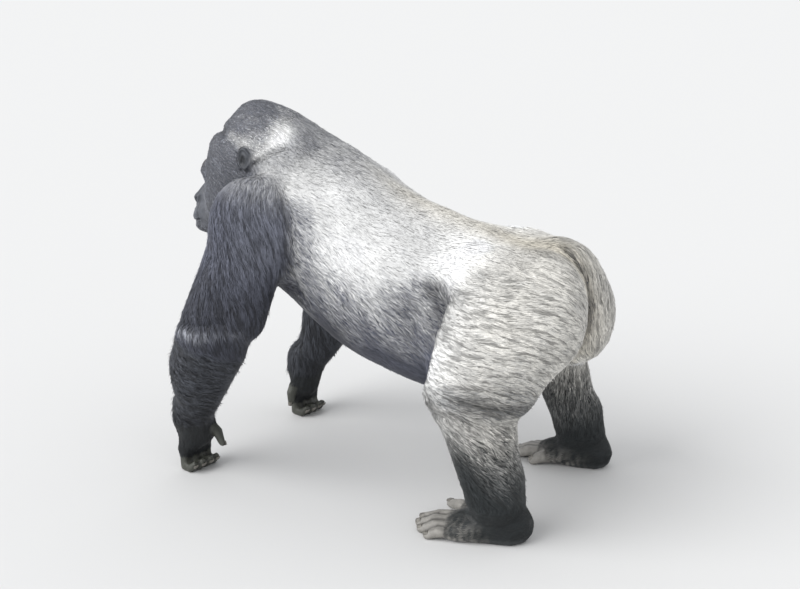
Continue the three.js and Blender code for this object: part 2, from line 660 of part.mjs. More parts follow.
let rest = solidOfClay(whole, boxOf(-520, 520, -760, 800, 40, 1210), BODY_CELL, BODY_TRIANGLES);
const loose = {};
function sever(name, ...regions) {
  [loose[name], rest] = severed(rest, ...regions);
}
sever('head', HEAD_CUTS);
for (const [key, a] of Object.entries(ARMS)) {
  const cuts = armCuts(a);
  sever(`hand_${key}`, cuts.hand);
  sever(`forearm_${key}`, cuts.forearm);
  sever(`upper_arm_${key}`, cuts.shoulder, cuts.upperArm);
}
sever('neck', NECK_CUTS);
for (const [key, l] of Object.entries(LEGS)) {
  const cuts = legCuts(l);
  sever(`foot_${key}`, cuts.foot);
  sever(`shank_${key}`, cuts.shank);
  sever(`thigh_${key}`, cuts.thigh);
}
loose.trunk = rest;

// The head, hands and feet are made again from finer skins, and so are the digits.
function finely(clay, box, cell, triangles, cuts) {
  return mainBody(solidOfClay(clay, box, cell, triangles).intersect(wedge(cuts)));
}
const HEAD_BOX = boxOf(-190, 190, -700, -220, 660, 1200);
loose.head = eased(finely(whole, HEAD_BOX, HEAD_CELL, HEAD_TRIANGLES, HEAD_CUTS));

// A block round a point on the ground plan, between two heights.
function blockRound(p, reach, low, high) {
  return boxOf(p.x - reach, p.x + reach, p.y - reach, p.y + reach, low, high);
}

// ---------------------------------------------------------------- nails, eyes and ears
const NAIL = { thick: 2.4, gap: 0.3, rise: 0.9 }; // rise is how far a nail stands over the skin

// The cross-section of a nail: a flat top with sloping sides, hollowed underneath.
function nailSection(half, top) {
  const arch = new THREE.Shape();
  const low = -top - half * 0.5;
  const hollow = -top - half * 0.3;
  const high = top - half * 0.12;
  arch.moveTo(-half, low);
  arch.lineTo(-half * 0.62, high);
  arch.lineTo(half * 0.62, high);
  arch.lineTo(half, low);
  arch.lineTo(half * 0.55, hollow);
  arch.lineTo(-half * 0.55, hollow);
  return arch;
}

// A nail lies over the back of a digit's tip, from its root to its free end. grow swells it.
function nail(root, tip, up, width, grow = 0) {
  const along = tip.clone().sub(root);
  const depth = along.length() + 2 * grow;
  const section = nailSection(width / 2 + grow, NAIL.thick / 2 + grow);
  const geometry = new THREE.ExtrudeGeometry(section, { depth, bevelEnabled: false });
  geometry.translate(0, 0, -grow);
  const z = along.normalize();
  const x = up.clone().cross(z).normalize();
  geometry.applyMatrix4(new THREE.Matrix4().makeBasis(x, z.clone().cross(x), z).setPosition(root));
  return solidFrom(geometry);
}

// Sets a nail in the tip of a digit: the digit gives way to it, and both become parts.
function digit(name, solid, { last, tip, radius, up }, material) {
  const forward = tip.clone().sub(last).normalize();
  const lift = up.clone().addScaledVector(forward, -up.dot(forward)).normalize();
  const top = tip.clone().addScaledVector(lift, radius + NAIL.rise);
  const root = top.clone().addScaledVector(forward, -radius * 0.55);
  const end = top.clone().addScaledVector(forward, radius * 0.62);
  end.addScaledVector(lift, -radius * 0.16);
  const width = radius * 1.35;
  addPart(name, eased(solid).subtract(nail(root, end, lift, width, NAIL.gap)), material);
  addPart(`nail_${name}`, nail(root, end, lift, width), MATERIALS.nail);
}

// Slabs that keep neighbouring digits apart, in the frame of a hand or a foot.
function between(frame, row, n) {
  const x = frame(1, 0, 0).sub(frame(0, 0, 0));
  const cuts = [];
  if (n > 0) cuts.push(cut(frame((row[n - 1] + row[n] + GAP) / 2, 0, 0), x));
  if (n < row.length - 1) cuts.push(cut(frame((row[n] + row[n + 1] - GAP) / 2, 0, 0), x.clone().negate()));
  return cuts;
}

for (const [key, a] of Object.entries(ARMS)) {
  const at = handFrame(a);
  const facing = (x, y, z) => at(x, y, z).sub(at(0, 0, 0));
  const top = cut(V(0, 0, FINGER_TOP), V(0, 0, 1));
  const block = blockRound(a.wrist.clone().lerp(a.knuckles, 0.5), 110, 20, 220);
  const hand = finely(whole, block, PAW_CELL, HAND_TRIANGLES, [...armCuts(a).hand, top]);
  const [base, joint, tip] = a.thumb.map((p) => at(...p));
  const thumbCuts = [
    cut(base.clone().lerp(joint, 0.4), joint.clone().sub(base)),
    cut(at(...a.thumbRoot.at), facing(...a.thumbRoot.facing)),
    cut(at(a.thumbSide, 0, 0), facing(-1, 0, 0)),
  ];
  const [thumb, body] = severed(hand, thumbCuts);
  addPart(`hand_${key}`, eased(body), MATERIALS.black);
  const thumbEnd = { last: joint, tip, radius: THUMB_RADII[2], up: facing(-1, 0.2, 0.3) };
  digit(`thumb_${key}`, thumb, thumbEnd, MATERIALS.palm);
  const row = FINGERS.map((f) => f.across);
  const under = [cut(V(0, 0, FINGER_TOP - GAP), V(0, 0, -1)), ...ABOVE_FLOOR];
  FINGERS.forEach((f, n) => {
    const box = blockRound(at(f.across, 10, 0), 84, -24, 72);
    const solid = finely(finger(a, f), box, DIGIT_CELL, DIGIT_TRIANGLES, [...under, ...between(at, row, n)]);
    const [last, end] = [0, 1].map((e) => at(f.across, ...fingerEnd(f.size, e)));
    const shape = { last, tip: end, radius: FINGER_RADII[3] * f.size, up: facing(0, 0.4, -1) };
    digit(`${f.name}_finger_${key}`, solid, shape, MATERIALS.palm);
  });
}

for (const [key, l] of Object.entries(LEGS)) {
  const at = footFrame(l);
  const facing = (x, y, z) => at(x, y, z).sub(at(0, 0, 0));
  const front = facing(0, -1, 0);
  const up = V(0, 0, 1);
  const block = blockRound(at(-10, -100, 0), 200, -30, 190);
  const skin = finely(whole, block, PAW_CELL, FOOT_TRIANGLES, [...legCuts(l).foot, ...ABOVE_FLOOR]);
  const one = greatToe(l);
  const start = at(...one.from);
  const end = at(...one.to);
  const root = cut(start.clone().lerp(end, 0.3), end.clone().sub(start));
  const [great, without] = severed(skin, [root, cut(at(-40, -150, 0), facing(-1, 0.2, 0))]);
  const [, body] = severed(without, [cut(at(0, TOE_BASE, 0), front), cut(at(-52, 0, 0), facing(1, 0, 0))]);
  addPart(`foot_${key}`, eased(body), MATERIALS.black);
  digit(`great_toe_${key}`, great, { last: start, tip: end, radius: one.radius * TIP, up }, MATERIALS.toe);
  const row = TOES.map((t) => (t.from[0] + t.to[0]) / 2);
  const past = [cut(at(0, TOE_BASE - GAP, 0), front), ...ABOVE_FLOOR];
  TOES.forEach((t, n) => {
    const [last, tip] = [at(...t.from), at(...t.to)];
    const box = blockRound(last.clone().lerp(tip, 0.5), 90, -20, 70);
    const solid = finely(toe(l, t), box, DIGIT_CELL, DIGIT_TRIANGLES, [...past, ...between(at, row, n)]);
    digit(`${t.name}_toe_${key}`, solid, { last, tip, radius: t.radius * TIP, up }, MATERIALS.toe);
  });
}

// How far out to the side the clay's surface lies at a place.
function reachOut(clay, back, up) {
  let across = 40;
  while (clay.at(across, back, up) < 0) across += 0.5;
  return across;
}

// A shallow flat cut into the side of the head, just round the ear that stands on it.
function earSeat(s, across) {
  const seat = new THREE.CylinderGeometry(1, 1, 40, 16).rotateZ(Math.PI / 2);
  seat.scale(1, EAR.height + 2, EAR.half + 2).rotateX(Math.PI / 2);
  return solidFrom(seat.translate(s * (across + 20.4), EAR.back, EAR.up));
}

for (const [key, s] of Object.entries({ left: LEFT, right: RIGHT })) {
  const ball = (radius) => {
    const sphere = new THREE.SphereGeometry(radius, 12, 7).rotateX(Math.PI / 2);
    return solidFrom(sphere.translate(s * EYE.across, EYE.back, EYE.up));
  };
  addPart(`eye_${key}`, ball(EYE.radius), MATERIALS.eye);
  const across = reachOut(whole, EAR.back, EAR.up);
  const middle = V(s * (across + 4), EAR.back, EAR.up);
  const box = new THREE.Box3().setFromCenterAndSize(middle, V(52, 84, 104));
  const root = wedge([cut(V(s * (across + 1), EAR.back, EAR.up), V(-s, 0, 0))]);
  const shell = solidOfClay(ear(s, across), box, DIGIT_CELL, EAR_TRIANGLES).subtract(root);
  addPart(`ear_${key}`, shell, MATERIALS.face);
  loose.head = loose.head.subtract(ball(EYE.radius + GAP / 2)).subtract(earSeat(s, across));
}

addPart('head', loose.head, MATERIALS.black);
const MADE_AGAIN = ['head', 'hand_left', 'hand_right', 'foot_left', 'foot_right'];
const DARK = ['upper_arm_left', 'upper_arm_right', 'forearm_left', 'forearm_right'];
for (const [name, solid] of Object.entries(loose)) {
  if (MADE_AGAIN.includes(name)) continue;
  addPart(name, eased(solid), DARK.includes(name) ? MATERIALS.black : MATERIALS.silver);
}

// The origin is under the middle of the animal, on the floor.
const bounds = new THREE.Box3().setFromObject(gorilla);
const middle = bounds.getCenter(V(0, 0, 0));
gorilla.position.set(-middle.x, -middle.y, -bounds.min.z);

export default gorilla;
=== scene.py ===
# %% [markdown]
# # A silverback gorilla standing on its knuckles
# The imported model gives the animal's size and every proportion, as plain faceted solids. This lesson
# puts the living surface on it: one skin without seams, a coat of short tufts, the bare face, the eyes
# and the nails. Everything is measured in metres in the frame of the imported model: the animal looks
# along -Y, its left side is +X, and it stands on z = 0.

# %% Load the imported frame
import math
import bmesh
import bpy
import numpy as np
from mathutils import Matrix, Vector
from mathutils.bvhtree import BVHTree


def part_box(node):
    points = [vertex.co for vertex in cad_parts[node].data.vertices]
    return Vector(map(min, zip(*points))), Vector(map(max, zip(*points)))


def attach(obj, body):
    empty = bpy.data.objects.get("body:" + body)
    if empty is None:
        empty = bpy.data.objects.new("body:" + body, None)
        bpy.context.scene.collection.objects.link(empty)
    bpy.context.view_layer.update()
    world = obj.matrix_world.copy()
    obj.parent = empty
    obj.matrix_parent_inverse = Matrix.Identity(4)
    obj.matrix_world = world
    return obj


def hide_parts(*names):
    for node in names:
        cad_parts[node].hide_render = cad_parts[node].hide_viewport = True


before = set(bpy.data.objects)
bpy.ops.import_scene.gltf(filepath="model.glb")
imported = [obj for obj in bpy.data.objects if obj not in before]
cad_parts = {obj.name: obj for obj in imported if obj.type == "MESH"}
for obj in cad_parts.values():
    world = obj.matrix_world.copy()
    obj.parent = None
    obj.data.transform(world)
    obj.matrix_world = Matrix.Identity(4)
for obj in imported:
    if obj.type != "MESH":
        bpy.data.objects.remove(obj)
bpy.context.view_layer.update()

MM = 0.001

# %% [markdown]
# ## Where we stand to look
# The animal is seen from behind its left side and a little from above. A camera in Blender looks along
# its own -Z axis, so it is aimed by pointing that axis from the camera to a place in the middle of the
# body. The lens is a short portrait length, which keeps the near hand and the far foot in proportion.

# %% Aim the camera
LOOKED_AT = Vector((0.0, 0.051, 0.601))
VIEW_AZIMUTH = math.radians(115.8)
VIEW_ELEVATION = math.radians(18)
VIEW_DISTANCE = 3.297
LENS = 48.7
SENSOR_WIDTH = 36


def linked(name, data):
    """A new object in the scene, made of this data."""
    made = bpy.data.objects.new(name, data)
    bpy.context.scene.collection.objects.link(made)
    return made


towards_viewer = Vector((
    math.sin(VIEW_AZIMUTH) * math.cos(VIEW_ELEVATION),
    -math.cos(VIEW_AZIMUTH) * math.cos(VIEW_ELEVATION),
    math.sin(VIEW_ELEVATION),
))
lens = bpy.data.cameras.new("viewer")
lens.lens = LENS
lens.sensor_width = SENSOR_WIDTH
viewer = linked("viewer", lens)
viewer.location = LOOKED_AT + towards_viewer * VIEW_DISTANCE
viewer.rotation_euler = (-towards_viewer).to_track_quat("-Z", "Y").to_euler()
bpy.context.scene.camera = viewer
print("the camera stands at", [round(c, 2) for c in viewer.location])

# %% [markdown]
# ## One closed surface for all the flesh
# A real animal has no joins between its head, neck and limbs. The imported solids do: each is closed and
# a hair's breadth from the next. A voxel remesh pours them all into one mould and keeps only the outer
# wall. The eyeballs go in as well, so that there is skin in front of them to make the lids from. The
# nails stay out, because they are hard pieces of their own.

# %% Gather the solids of the flesh
flesh = [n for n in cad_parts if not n.startswith("nail_") and not n.startswith("eye_")]
eyes = ["eye_left", "eye_right"]


def solid_arrays(node):
    """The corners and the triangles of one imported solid."""
    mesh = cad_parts[node].data
    corners = np.empty(len(mesh.vertices) * 3, np.float32)
    mesh.vertices.foreach_get("co", corners)
    mesh.calc_loop_triangles()
    triangles = np.empty(len(mesh.loop_triangles) * 3, np.int32)
    mesh.loop_triangles.foreach_get("vertices", triangles)
    return corners.reshape(-1, 3), triangles.reshape(-1, 3)


def join_solids(nodes):
    """All the solids as one list of corners and triangles, and which node each triangle is from."""
    corners, triangles, owner, count = [], [], [], 0
    for number, node in enumerate(nodes):
        c, t = solid_arrays(node)
        corners.append(c)
        triangles.append(t + count)
        owner.append(np.full(len(t), number))
        count += len(c)
    return np.concatenate(corners), np.concatenate(triangles), np.concatenate(owner)


def mesh_object(name, corners, loops, starts):
    """A new object from arrays: its corners, the corners round every face, and where each face starts."""
    mesh = bpy.data.meshes.new(name)
    mesh.vertices.add(len(corners))
    mesh.vertices.foreach_set("co", np.asarray(corners, np.float32).ravel())
    mesh.loops.add(len(loops))
    mesh.loops.foreach_set("vertex_index", np.asarray(loops, np.int32))
    mesh.polygons.add(len(starts))
    mesh.polygons.foreach_set("loop_start", np.asarray(starts, np.int32))
    mesh.update(calc_edges=True)
    return linked(name, mesh)


solid_corners, solid_triangles, solid_owner = join_solids(flesh + eyes)
print(len(flesh), "solids of flesh with", len(solid_triangles), "facets")

# %% Pour them into one mould
VOXEL = 7 * MM
OVERLAP = 0.8 * MM


def applied(thing):
    """Makes a mesh of what the modifiers show, and takes the modifiers away."""
    shown = thing.evaluated_get(bpy.context.evaluated_depsgraph_get())
    mesh = bpy.data.meshes.new_from_object(shown)
    thing.modifiers.clear()
    thing.data = mesh
    return thing


def swollen(corners, triangles, by):
    """Moves every corner outwards, so that solids a hair apart overlap instead."""
    a, b, c = (corners[triangles[:, k]] for k in range(3))
    facing = np.cross(b - a, c - a)
    total = np.zeros_like(corners)
    for k in range(3):
        np.add.at(total, triangles[:, k], facing)
    return corners + by * total / np.maximum(np.linalg.norm(total, axis=1), 1e-12)[:, None]


swollen_corners = swollen(solid_corners, solid_triangles, OVERLAP)
starts = np.arange(len(solid_triangles)) * 3
skin = mesh_object("skin", swollen_corners, solid_triangles.ravel(), starts)
remesh = skin.modifiers.new("mould", "REMESH")
remesh.mode = "VOXEL"
remesh.voxel_size = VOXEL
remesh.adaptivity = 0
applied(skin)
print("the mould has", len(skin.data.vertices), "corners")

# %% [markdown]
# ## Smoothing the facets away
# The solids are carved in flat facets about two fingers wide. Moving every corner a little towards the
# middle of its neighbours, many times, rounds them. That also shrinks thin places, so the loss is
# measured and given back, and the head, the hands and the feet, which are carved finely, get only a
# few rounds.

# %% Read and write the skin's corners
def corners_of(thing):
    """The places of a piece's corners."""
    found = np.empty(len(thing.data.vertices) * 3, np.float32)
    thing.data.vertices.foreach_get("co", found)
    return found.reshape(-1, 3).astype(np.float64)


def edges_of(thing):
    """The two corners of each edge."""
    found = np.empty(len(thing.data.edges) * 2, np.int32)
    thing.data.edges.foreach_get("vertices", found)
    return found.reshape(-1, 2)


def normals_of(thing):
    """Which way is out at each corner."""
    found = np.empty(len(thing.data.vertices) * 3, np.float32)
    thing.data.vertex_normals.foreach_get("vector", found)
    return found.reshape(-1, 3).astype(np.float64)


def put_corners(thing, corners):
    thing.data.vertices.foreach_set("co", np.asarray(corners, np.float32).ravel())
    thing.data.update()


def spread(values, edges, rounds, share=0.5):
    """Every value moves towards the mean of its neighbours, by its share, so many times."""
    values = values.astype(np.float64).reshape(len(values), -1)
    a, b = edges.T
    count = np.bincount(a, minlength=len(values)) + np.bincount(b, minlength=len(values))
    share = np.broadcast_to(np.asarray(share, np.float64), len(values))[:, None]
    for _ in range(rounds):
        mean = np.empty_like(values)
        for k in range(values.shape[1]):
            column = values[:, k]
            mean[:, k] = np.bincount(a, column[b], len(column)) + np.bincount(b, column[a], len(column))
        values = values + share * (mean / np.maximum(count, 1)[:, None] - values)
    return values


def rounded(thing, rounds, share):
    """Smooths the corners and gives back the broad part of what was lost."""
    edges, before = edges_of(thing), corners_of(thing)
    after = spread(before, edges, rounds, share)
    put_corners(thing, after + spread(before - after, edges, rounds, share))


# %% Tell which part of the body each corner belongs to
solid_tree = BVHTree.FromPolygons(solid_corners.tolist(), solid_triangles.tolist())


def parts_of(corners):
    """The node whose solid is nearest to each corner, by its number in the list of flesh."""
    nearest = [solid_tree.find_nearest(c)[2] for c in corners.tolist()]
    return solid_owner[nearest]


PART_NAMES = (
    "head", "neck", "trunk", "ear", "upper_arm", "forearm", "hand", "thigh", "shank", "foot", "toe", "digit",
)
FINE_KINDS = ("head", "ear", "hand", "foot", "toe", "digit")


def kind_of(node):
    """What sort of part a node is: its name without the side."""
    for word in PART_NAMES:
        if node.startswith(word):
            return word
    return "head" if node.startswith("eye") else "toe" if "toe" in node else "digit"


kinds = np.array([kind_of(n) for n in flesh + eyes])
kind = kinds[parts_of(corners_of(skin))]
fine = spread(np.isin(kind, FINE_KINDS).astype(float), edges_of(skin), 8)[:, 0]
print(int((fine > 0.5).sum()), "corners are of the head, hands and feet")

# %% Smooth the mould
FEW_ROUNDS = 4  # enough to take the voxels' steps away
MANY_ROUNDS = 50  # enough to take the facets of the body and limbs away
body_only = np.clip(1 - 1.15 * fine, 0, 1)
rounded(skin, FEW_ROUNDS, 0.5)
rounded(skin, MANY_ROUNDS, 0.5 * body_only)
rounded(skin, FEW_ROUNDS, 0.5 * fine)
print("smoothed", len(skin.data.vertices), "corners")

# %% [markdown]
# ## Finer mesh where the eye looks
# The folds of the face and the ear are a few millimetres wide, so the mesh must be finer there. The
# faces are cut in four once over the head, hands and feet, and once more on the bare face and ears.

# %% Cut the faces of the fine places in four
eye_low = [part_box(n)[0] for n in eyes]
eye_high = [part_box(n)[1] for n in eyes]
eye_centres = np.array([(a + b) / 2 for a, b in zip(eye_low, eye_high)])
EYE_RADIUS = float(np.mean([(b - a).x / 2 for a, b in zip(eye_low, eye_high)]))
between_eyes = eye_centres.mean(0)


def face_place(across, forward, above):
    """A place on the face, in millimetres from the middle between the eyes."""
    return between_eyes + np.array([across, -forward, above]) * MM


def egg_distance(corners, centre, half):
    """Under 1 inside an egg with these half sizes in millimetres, over 1 outside it."""
    return np.linalg.norm((corners - centre) / (np.array(half) * MM), axis=1)


def finer(thing, chosen):
    """Cuts every face whose corners are all chosen in four."""
    bm = bmesh.new()
    bm.from_mesh(thing.data)
    edges = [e for e in bm.edges if chosen[e.verts[0].index] and chosen[e.verts[1].index]]
    bmesh.ops.subdivide_edges(bm, edges=edges, cuts=1, use_grid_fill=True)
    bm.to_mesh(thing.data)
    bm.free()


FACE_CENTRE = face_place(0, 22, -55)
FACE_HALF = (82, 85, 118)
FACE_MARGIN = 1.08  # the finest mesh goes this far from the middle of the face, in its half sizes
finer(skin, fine > 0.5)
corners = corners_of(skin)
ears = kinds[parts_of(corners)] == "ear"
face = egg_distance(corners, FACE_CENTRE, FACE_HALF) < FACE_MARGIN
near_ear = spread(ears.astype(float), edges_of(skin), 2)[:, 0] > 0.05
finer(skin, face | near_ear)
print("the skin now has", len(skin.data.vertices), "corners")

# %% Draw the fine places back onto the carved surface
DRAWN_SHARE = 0.7  # how much of the way back they are drawn
corners = corners_of(skin)
edges = edges_of(skin)
kind = kinds[parts_of(corners)]
fine = spread(np.isin(kind, FINE_KINDS).astype(float), edges, 10)[:, 0]
carved = np.array([solid_tree.find_nearest(c)[0] for c in corners.tolist()])
drawn = np.clip(fine * 1.5 - 0.3, 0, 1)[:, None] * DRAWN_SHARE
put_corners(skin, corners + drawn * (carved - corners))
rounded(skin, FEW_ROUNDS, 0.5 * np.clip(fine * 1.5, 0, 1))
rounded(skin, 6, 0.5)
print("largest move onto the carved surface:", round(float(np.abs(carved - corners).max()) * 1000, 1), "mm")

# %% [markdown]
# ## Where the skin is bare, and how deep the coat is
# A gorilla's face, ears, fingers, palms and soles are naked. Everywhere else the coat lies on the skin,
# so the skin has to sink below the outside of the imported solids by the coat's depth. Both are written
# as one soft number for each corner, so that fur thins out towards the bare places.

# %% Soft masks for each part of the body
corners = corners_of(skin)
edges = edges_of(skin)
part = parts_of(corners)
kind = kinds[part]
SOFTEN = {"head": 10, "ear": 2, "toe": 3, "digit": 3}  # rounds of spreading; the other parts get more


def soft_masks(kind, edges, rounds):
    """For each kind of part, how much every corner belongs to it, softened over the borders."""
    sharp = {name: (kind == name).astype(float) for name in PART_NAMES}
    return {name: spread(mask, edges, SOFTEN.get(name, rounds))[:, 0] for name, mask in sharp.items()}


masks = soft_masks(kind, edges, 8)
print("corners of each part:", {name: int((mask > 0.5).sum()) for name, mask in masks.items()})


# %% Find the bare skin
def ease(low, high, value):
    """Goes softly from 0 at low to 1 at high."""
    t = np.clip((value - low) / (high - low), 0, 1)
    return t * t * (3 - 2 * t)


BARE_FACE_HALF = (80, 78, 112)
SOLE_TOP = (0.012, 0.03)  # the sole ends softly between these heights


def naked_face(corners, masks):
    """1 on the mask of the face, fading to 0 in the fur round it."""
    inside = 1 - ease(0.86, 1.02, egg_distance(corners, FACE_CENTRE, BARE_FACE_HALF))
    return inside * (masks["head"] > 0.3)


def naked(corners, masks, face, ear_share):
    """1 on all the bare skin: the face, the ears, the fingers and toes, and the soles."""
    sole = masks["foot"] * (1 - ease(*SOLE_TOP, corners[:, 2]))
    bare = face + masks["ear"] * ear_share + masks["toe"] * 1.3 + masks["digit"] * 1.2 + sole
    return np.clip(bare, 0, 1)


bare = naked(corners, masks, naked_face(corners, masks), 1.6)
print("bare share of the skin's corners:", round(float((bare > 0.5).mean()), 3))

# %% Sink the skin by the coat's depth
COAT_DEPTH = {  # in millimetres
    "head": 3, "neck": 4.5, "trunk": 5, "ear": 0.6, "upper_arm": 5.5, "forearm": 6, "hand": 2.5,
    "thigh": 5.5, "shank": 4.5, "foot": 2, "toe": 0.5, "digit": 0.5,
}
facing = normals_of(skin)
depth = sum(COAT_DEPTH[name] * MM * mask for name, mask in masks.items())
depth = spread(depth * (1 - 0.9 * bare), edges, 6)[:, 0]
broad_facing = spread(facing, edges, 6)
broad_facing /= np.linalg.norm(broad_facing, axis=1)[:, None]
put_corners(skin, corners - broad_facing * depth[:, None])
print("the coat is", round(float(depth.max()) * 1000, 1), "mm deep at most")

# %% [markdown]
# ## Folds and swellings of the body
# Where two masses of an animal press together there is a fold, and where bone or muscle lies close under
# the skin there is a swelling. A sculptor would cut the folds with a loop tool. Here each cut is a short
# line of points laid on the skin: corners near the line sink, and those just beside it rise, as soft
# flesh does. Places on the body are in metres, and many are mirrored to the other side.

# %% Tools for cutting folds
def skin_tree():
    """The skin as it is now, ready to find the nearest place on it."""
    return BVHTree.FromObject(skin, bpy.context.evaluated_depsgraph_get())


def laid_on(tree, path):
    """A path with every point moved onto the skin."""
    return np.array([tree.find_nearest(Vector(p))[0] for p in path])


def distance_to(places, path):
    """How far each place is from a bent line."""
    best = np.full(len(places), np.inf)
    path = np.asarray(path, float)
    for a, b in zip(path[:-1], path[1:]):
        way = b - a
        t = np.clip((places - a) @ way / (way @ way), 0, 1)
        best = np.minimum(best, np.linalg.norm(places - a - t[:, None] * way, axis=1))
    return best


def both_sides(path):
    """The path, and its mirror image on the other half of the body."""
    return [path, [(-across, *others) for across, *others in path]]


LIP_PLACE = 2.1  # where the raised lip beside a fold lies, in widths of the fold
LIP_BREADTH = 0.8


def fold(places, way_out, tree, path, width, depth, lip=0.35):
    """How far a fold of this width and depth in millimetres moves each corner, and how deep it is there."""
    away = distance_to(places, laid_on(tree, path)) / (width * MM)
    deep = np.exp(-away ** 2) * depth
    rise = lip * np.exp(-((away - LIP_PLACE) / LIP_BREADTH) ** 2) * depth - deep
    return way_out * (rise * MM)[:, None], deep


def mound(places, way_out, centre, half, height):
    """Raises the flesh round a place, or lowers it, by a height in millimetres."""
    away = egg_distance(places, np.array(centre), half)
    return way_out * (np.exp(-away ** 2 * 1.5) * height * MM)[:, None]


# %% Lay out the folds of the body
FLANK = [(0.213, 0.262, 0.708), (0.236, 0.288, 0.68), (0.249, 0.288, 0.645), (0.26, 0.282, 0.60),
         (0.275, 0.272, 0.55), (0.30, 0.275, 0.48)]
HIP_LINE = [(0.24, 0.30, 0.688), (0.243, 0.345, 0.71), (0.246, 0.389, 0.728)]
CLEFT = [(-0.015, 0.566, 0.797), (-0.007, 0.60, 0.765), (-0.005, 0.64, 0.70), (-0.006, 0.655, 0.61),
         (-0.006, 0.62, 0.52)]
BEHIND_SHOULDER = [(0.228, -0.214, 0.946), (0.261, -0.183, 0.882), (0.271, -0.169, 0.813),
                   (0.252, -0.194, 0.73), (0.235, -0.189, 0.66), (0.218, -0.157, 0.60)]
OVER_ELBOW = [(0.35, -0.50, 0.55), (0.39, -0.46, 0.553), (0.405, -0.40, 0.562), (0.385, -0.33, 0.57)]
KNEE = [(0.325, 0.31, 0.40), (0.365, 0.35, 0.40), (0.385, 0.40, 0.41)]
UNDER_LEFT_THIGH = [(0.385, 0.38, 0.455), (0.369, 0.44, 0.444), (0.332, 0.505, 0.436),
                    (0.275, 0.56, 0.436), (0.21, 0.55, 0.42)]
UNDER_RIGHT_THIGH = [(-0.37, 0.40, 0.45), (-0.36, 0.47, 0.425), (-0.31, 0.54, 0.41), (-0.25, 0.55, 0.41)]
UNDER_SEAT = [(-0.10, 0.64, 0.50), (-0.18, 0.64, 0.48), (-0.25, 0.60, 0.47)]
BEHIND_HEAD = [(0.113, -0.274, 1.046), (0.125, -0.302, 1.034), (0.134, -0.331, 1.015), (0.137, -0.369, 0.994)]
ABOVE_BROW = [(-0.09, -0.51, 1.068), (-0.057, -0.539, 1.071), (0, -0.555, 1.072), (0.057, -0.539, 1.071),
              (0.09, -0.51, 1.068)]
BODY_FOLDS = [  # where each runs, its width, its depth, and whether the other side has it too
    (FLANK, 18, 13, True), (FLANK[:3], 26, 13, True), (HIP_LINE, 24, 5, True), (CLEFT, 13, 26, False),
    (BEHIND_SHOULDER, 15, 8, True), (OVER_ELBOW, 9, 5, True), (KNEE, 12, 6, True),
    (UNDER_LEFT_THIGH[:4], 14, 7, False), (UNDER_RIGHT_THIGH, 14, 6, False), (UNDER_SEAT, 14, 3, False),
    (BEHIND_HEAD, 7, 9, True), (ABOVE_BROW, 12, 8, False),
]
print(len(BODY_FOLDS), "folds to cut")

# %% Lay out the swellings of the body
BODY_MOUNDS = [  # centre, half sizes, height, and whether the other side has it too
    ((0.175, 0.31, 0.785), (50, 75, 40), 8, True),  # crest of the hip
    ((0.17, -0.08, 0.93), (60, 90, 50), 8, True),  # shoulder blade
    ((0.27, -0.02, 0.76), (40, 90, 70), 5, True),  # ribs
    ((0.40, -0.40, 0.53), (45, 85, 14), 5, True),  # roll under the elbow's crease
    ((0.30, 0.30, 0.53), (60, 45, 70), 6, True),  # front of the thigh
    ((0, 0.08, 0.44), (150, 250, 60), 6, False),  # belly
    ((0.12, 0.15, 0.44), (80, 90, 50), 7, True),  # sides of the belly
    ((0, 0.19, 0.88), (60, 110, 40), 9, False),  # loins
    ((0.055, -0.565, 1.035), (45, 30, 20), 5, True),  # ends of the brow
    ((0, -0.44, 1.16), (60, 60, 34), 4, False),  # crown
    ((0, -0.51, 1.13), (60, 30, 34), -2, False),  # front of the crown
    ((-0.07, 0.52, 0.815), (50, 60, 30), 8, False),  # top of the right buttock
    ((-0.10, 0.67, 0.61), (80, 40, 110), 6, False),  # back of the right buttock
    ((-0.08, 0.645, 0.50), (60, 40, 40), 9, False),  # foot of the right buttock
    ((0.345, -0.56, 0.285), (35, 30, 28), 6, False),  # left wrist
    ((0.395, -0.49, 0.51), (35, 35, 35), 7, False),  # front of the left elbow
    ((0.349, -0.405, 0.75), (50, 50, 60), -9, False),  # front of the left upper arm
    ((0.332, -0.261, 0.535), (30, 30, 30), -7, False),  # point of the left elbow
    ((0.298, -0.234, 0.63), (40, 35, 50), 8, False),  # back of the left upper arm
    ((0.206, -0.206, 0.635), (40, 45, 40), -10, False),  # left armpit
    ((0.277, 0.545, 0.19), (50, 30, 70), 6, False),  # left calf
    ((-0.288, 0.60, 0.22), (50, 30, 80), 5, False),  # right calf
]
print(len(BODY_MOUNDS), "swellings to raise or lower")

# %% Cut and swell the body, and keep how deep its folds are for painted shade
CLEFT_SHADE = 0.016  # how far the dark of the cleft reaches
DEEPEST_ON_BODY = 16  # a fold this many millimetres deep gets the full painted shade
corners = corners_of(skin)
facing = normals_of(skin)
tree = skin_tree()
move = np.zeros_like(corners)
fold_shade = np.zeros(len(corners))  # painted shade in the folds: how deep in a fold each corner lies, up to 1, to darken its colour
# painted shade in the cleft between the buttocks
shade_in_cleft = np.exp(-(distance_to(corners, laid_on(tree, CLEFT[:4])) / CLEFT_SHADE) ** 2)
for path, width, cut, twice in BODY_FOLDS:
    for line in both_sides(path) if twice else [path]:
        shift, deep = fold(corners, facing, tree, line, width, cut)
        move += shift
        fold_shade = np.maximum(fold_shade, np.clip(deep / DEEPEST_ON_BODY, 0, 1))
for centre, half, height, twice in BODY_MOUNDS:
    for place in both_sides([centre]) if twice else [[centre]]:
        move += mound(corners, facing, place[0], half, height)
put_corners(skin, corners + move)
rounded(skin, 2, 0.4)
print("the body's skin moved up to", round(float(np.linalg.norm(move, axis=1).max()) * 1000), "mm")

# %% [markdown]
# ## The face
# A gorilla's face is a broad bare mask: deep eyes under one heavy brow, a nose like a heart whose wings
# are outlined by folds, and a long smooth upper lip. The same tools cut it, with each place given in
# millimetres from the middle between the eyes.

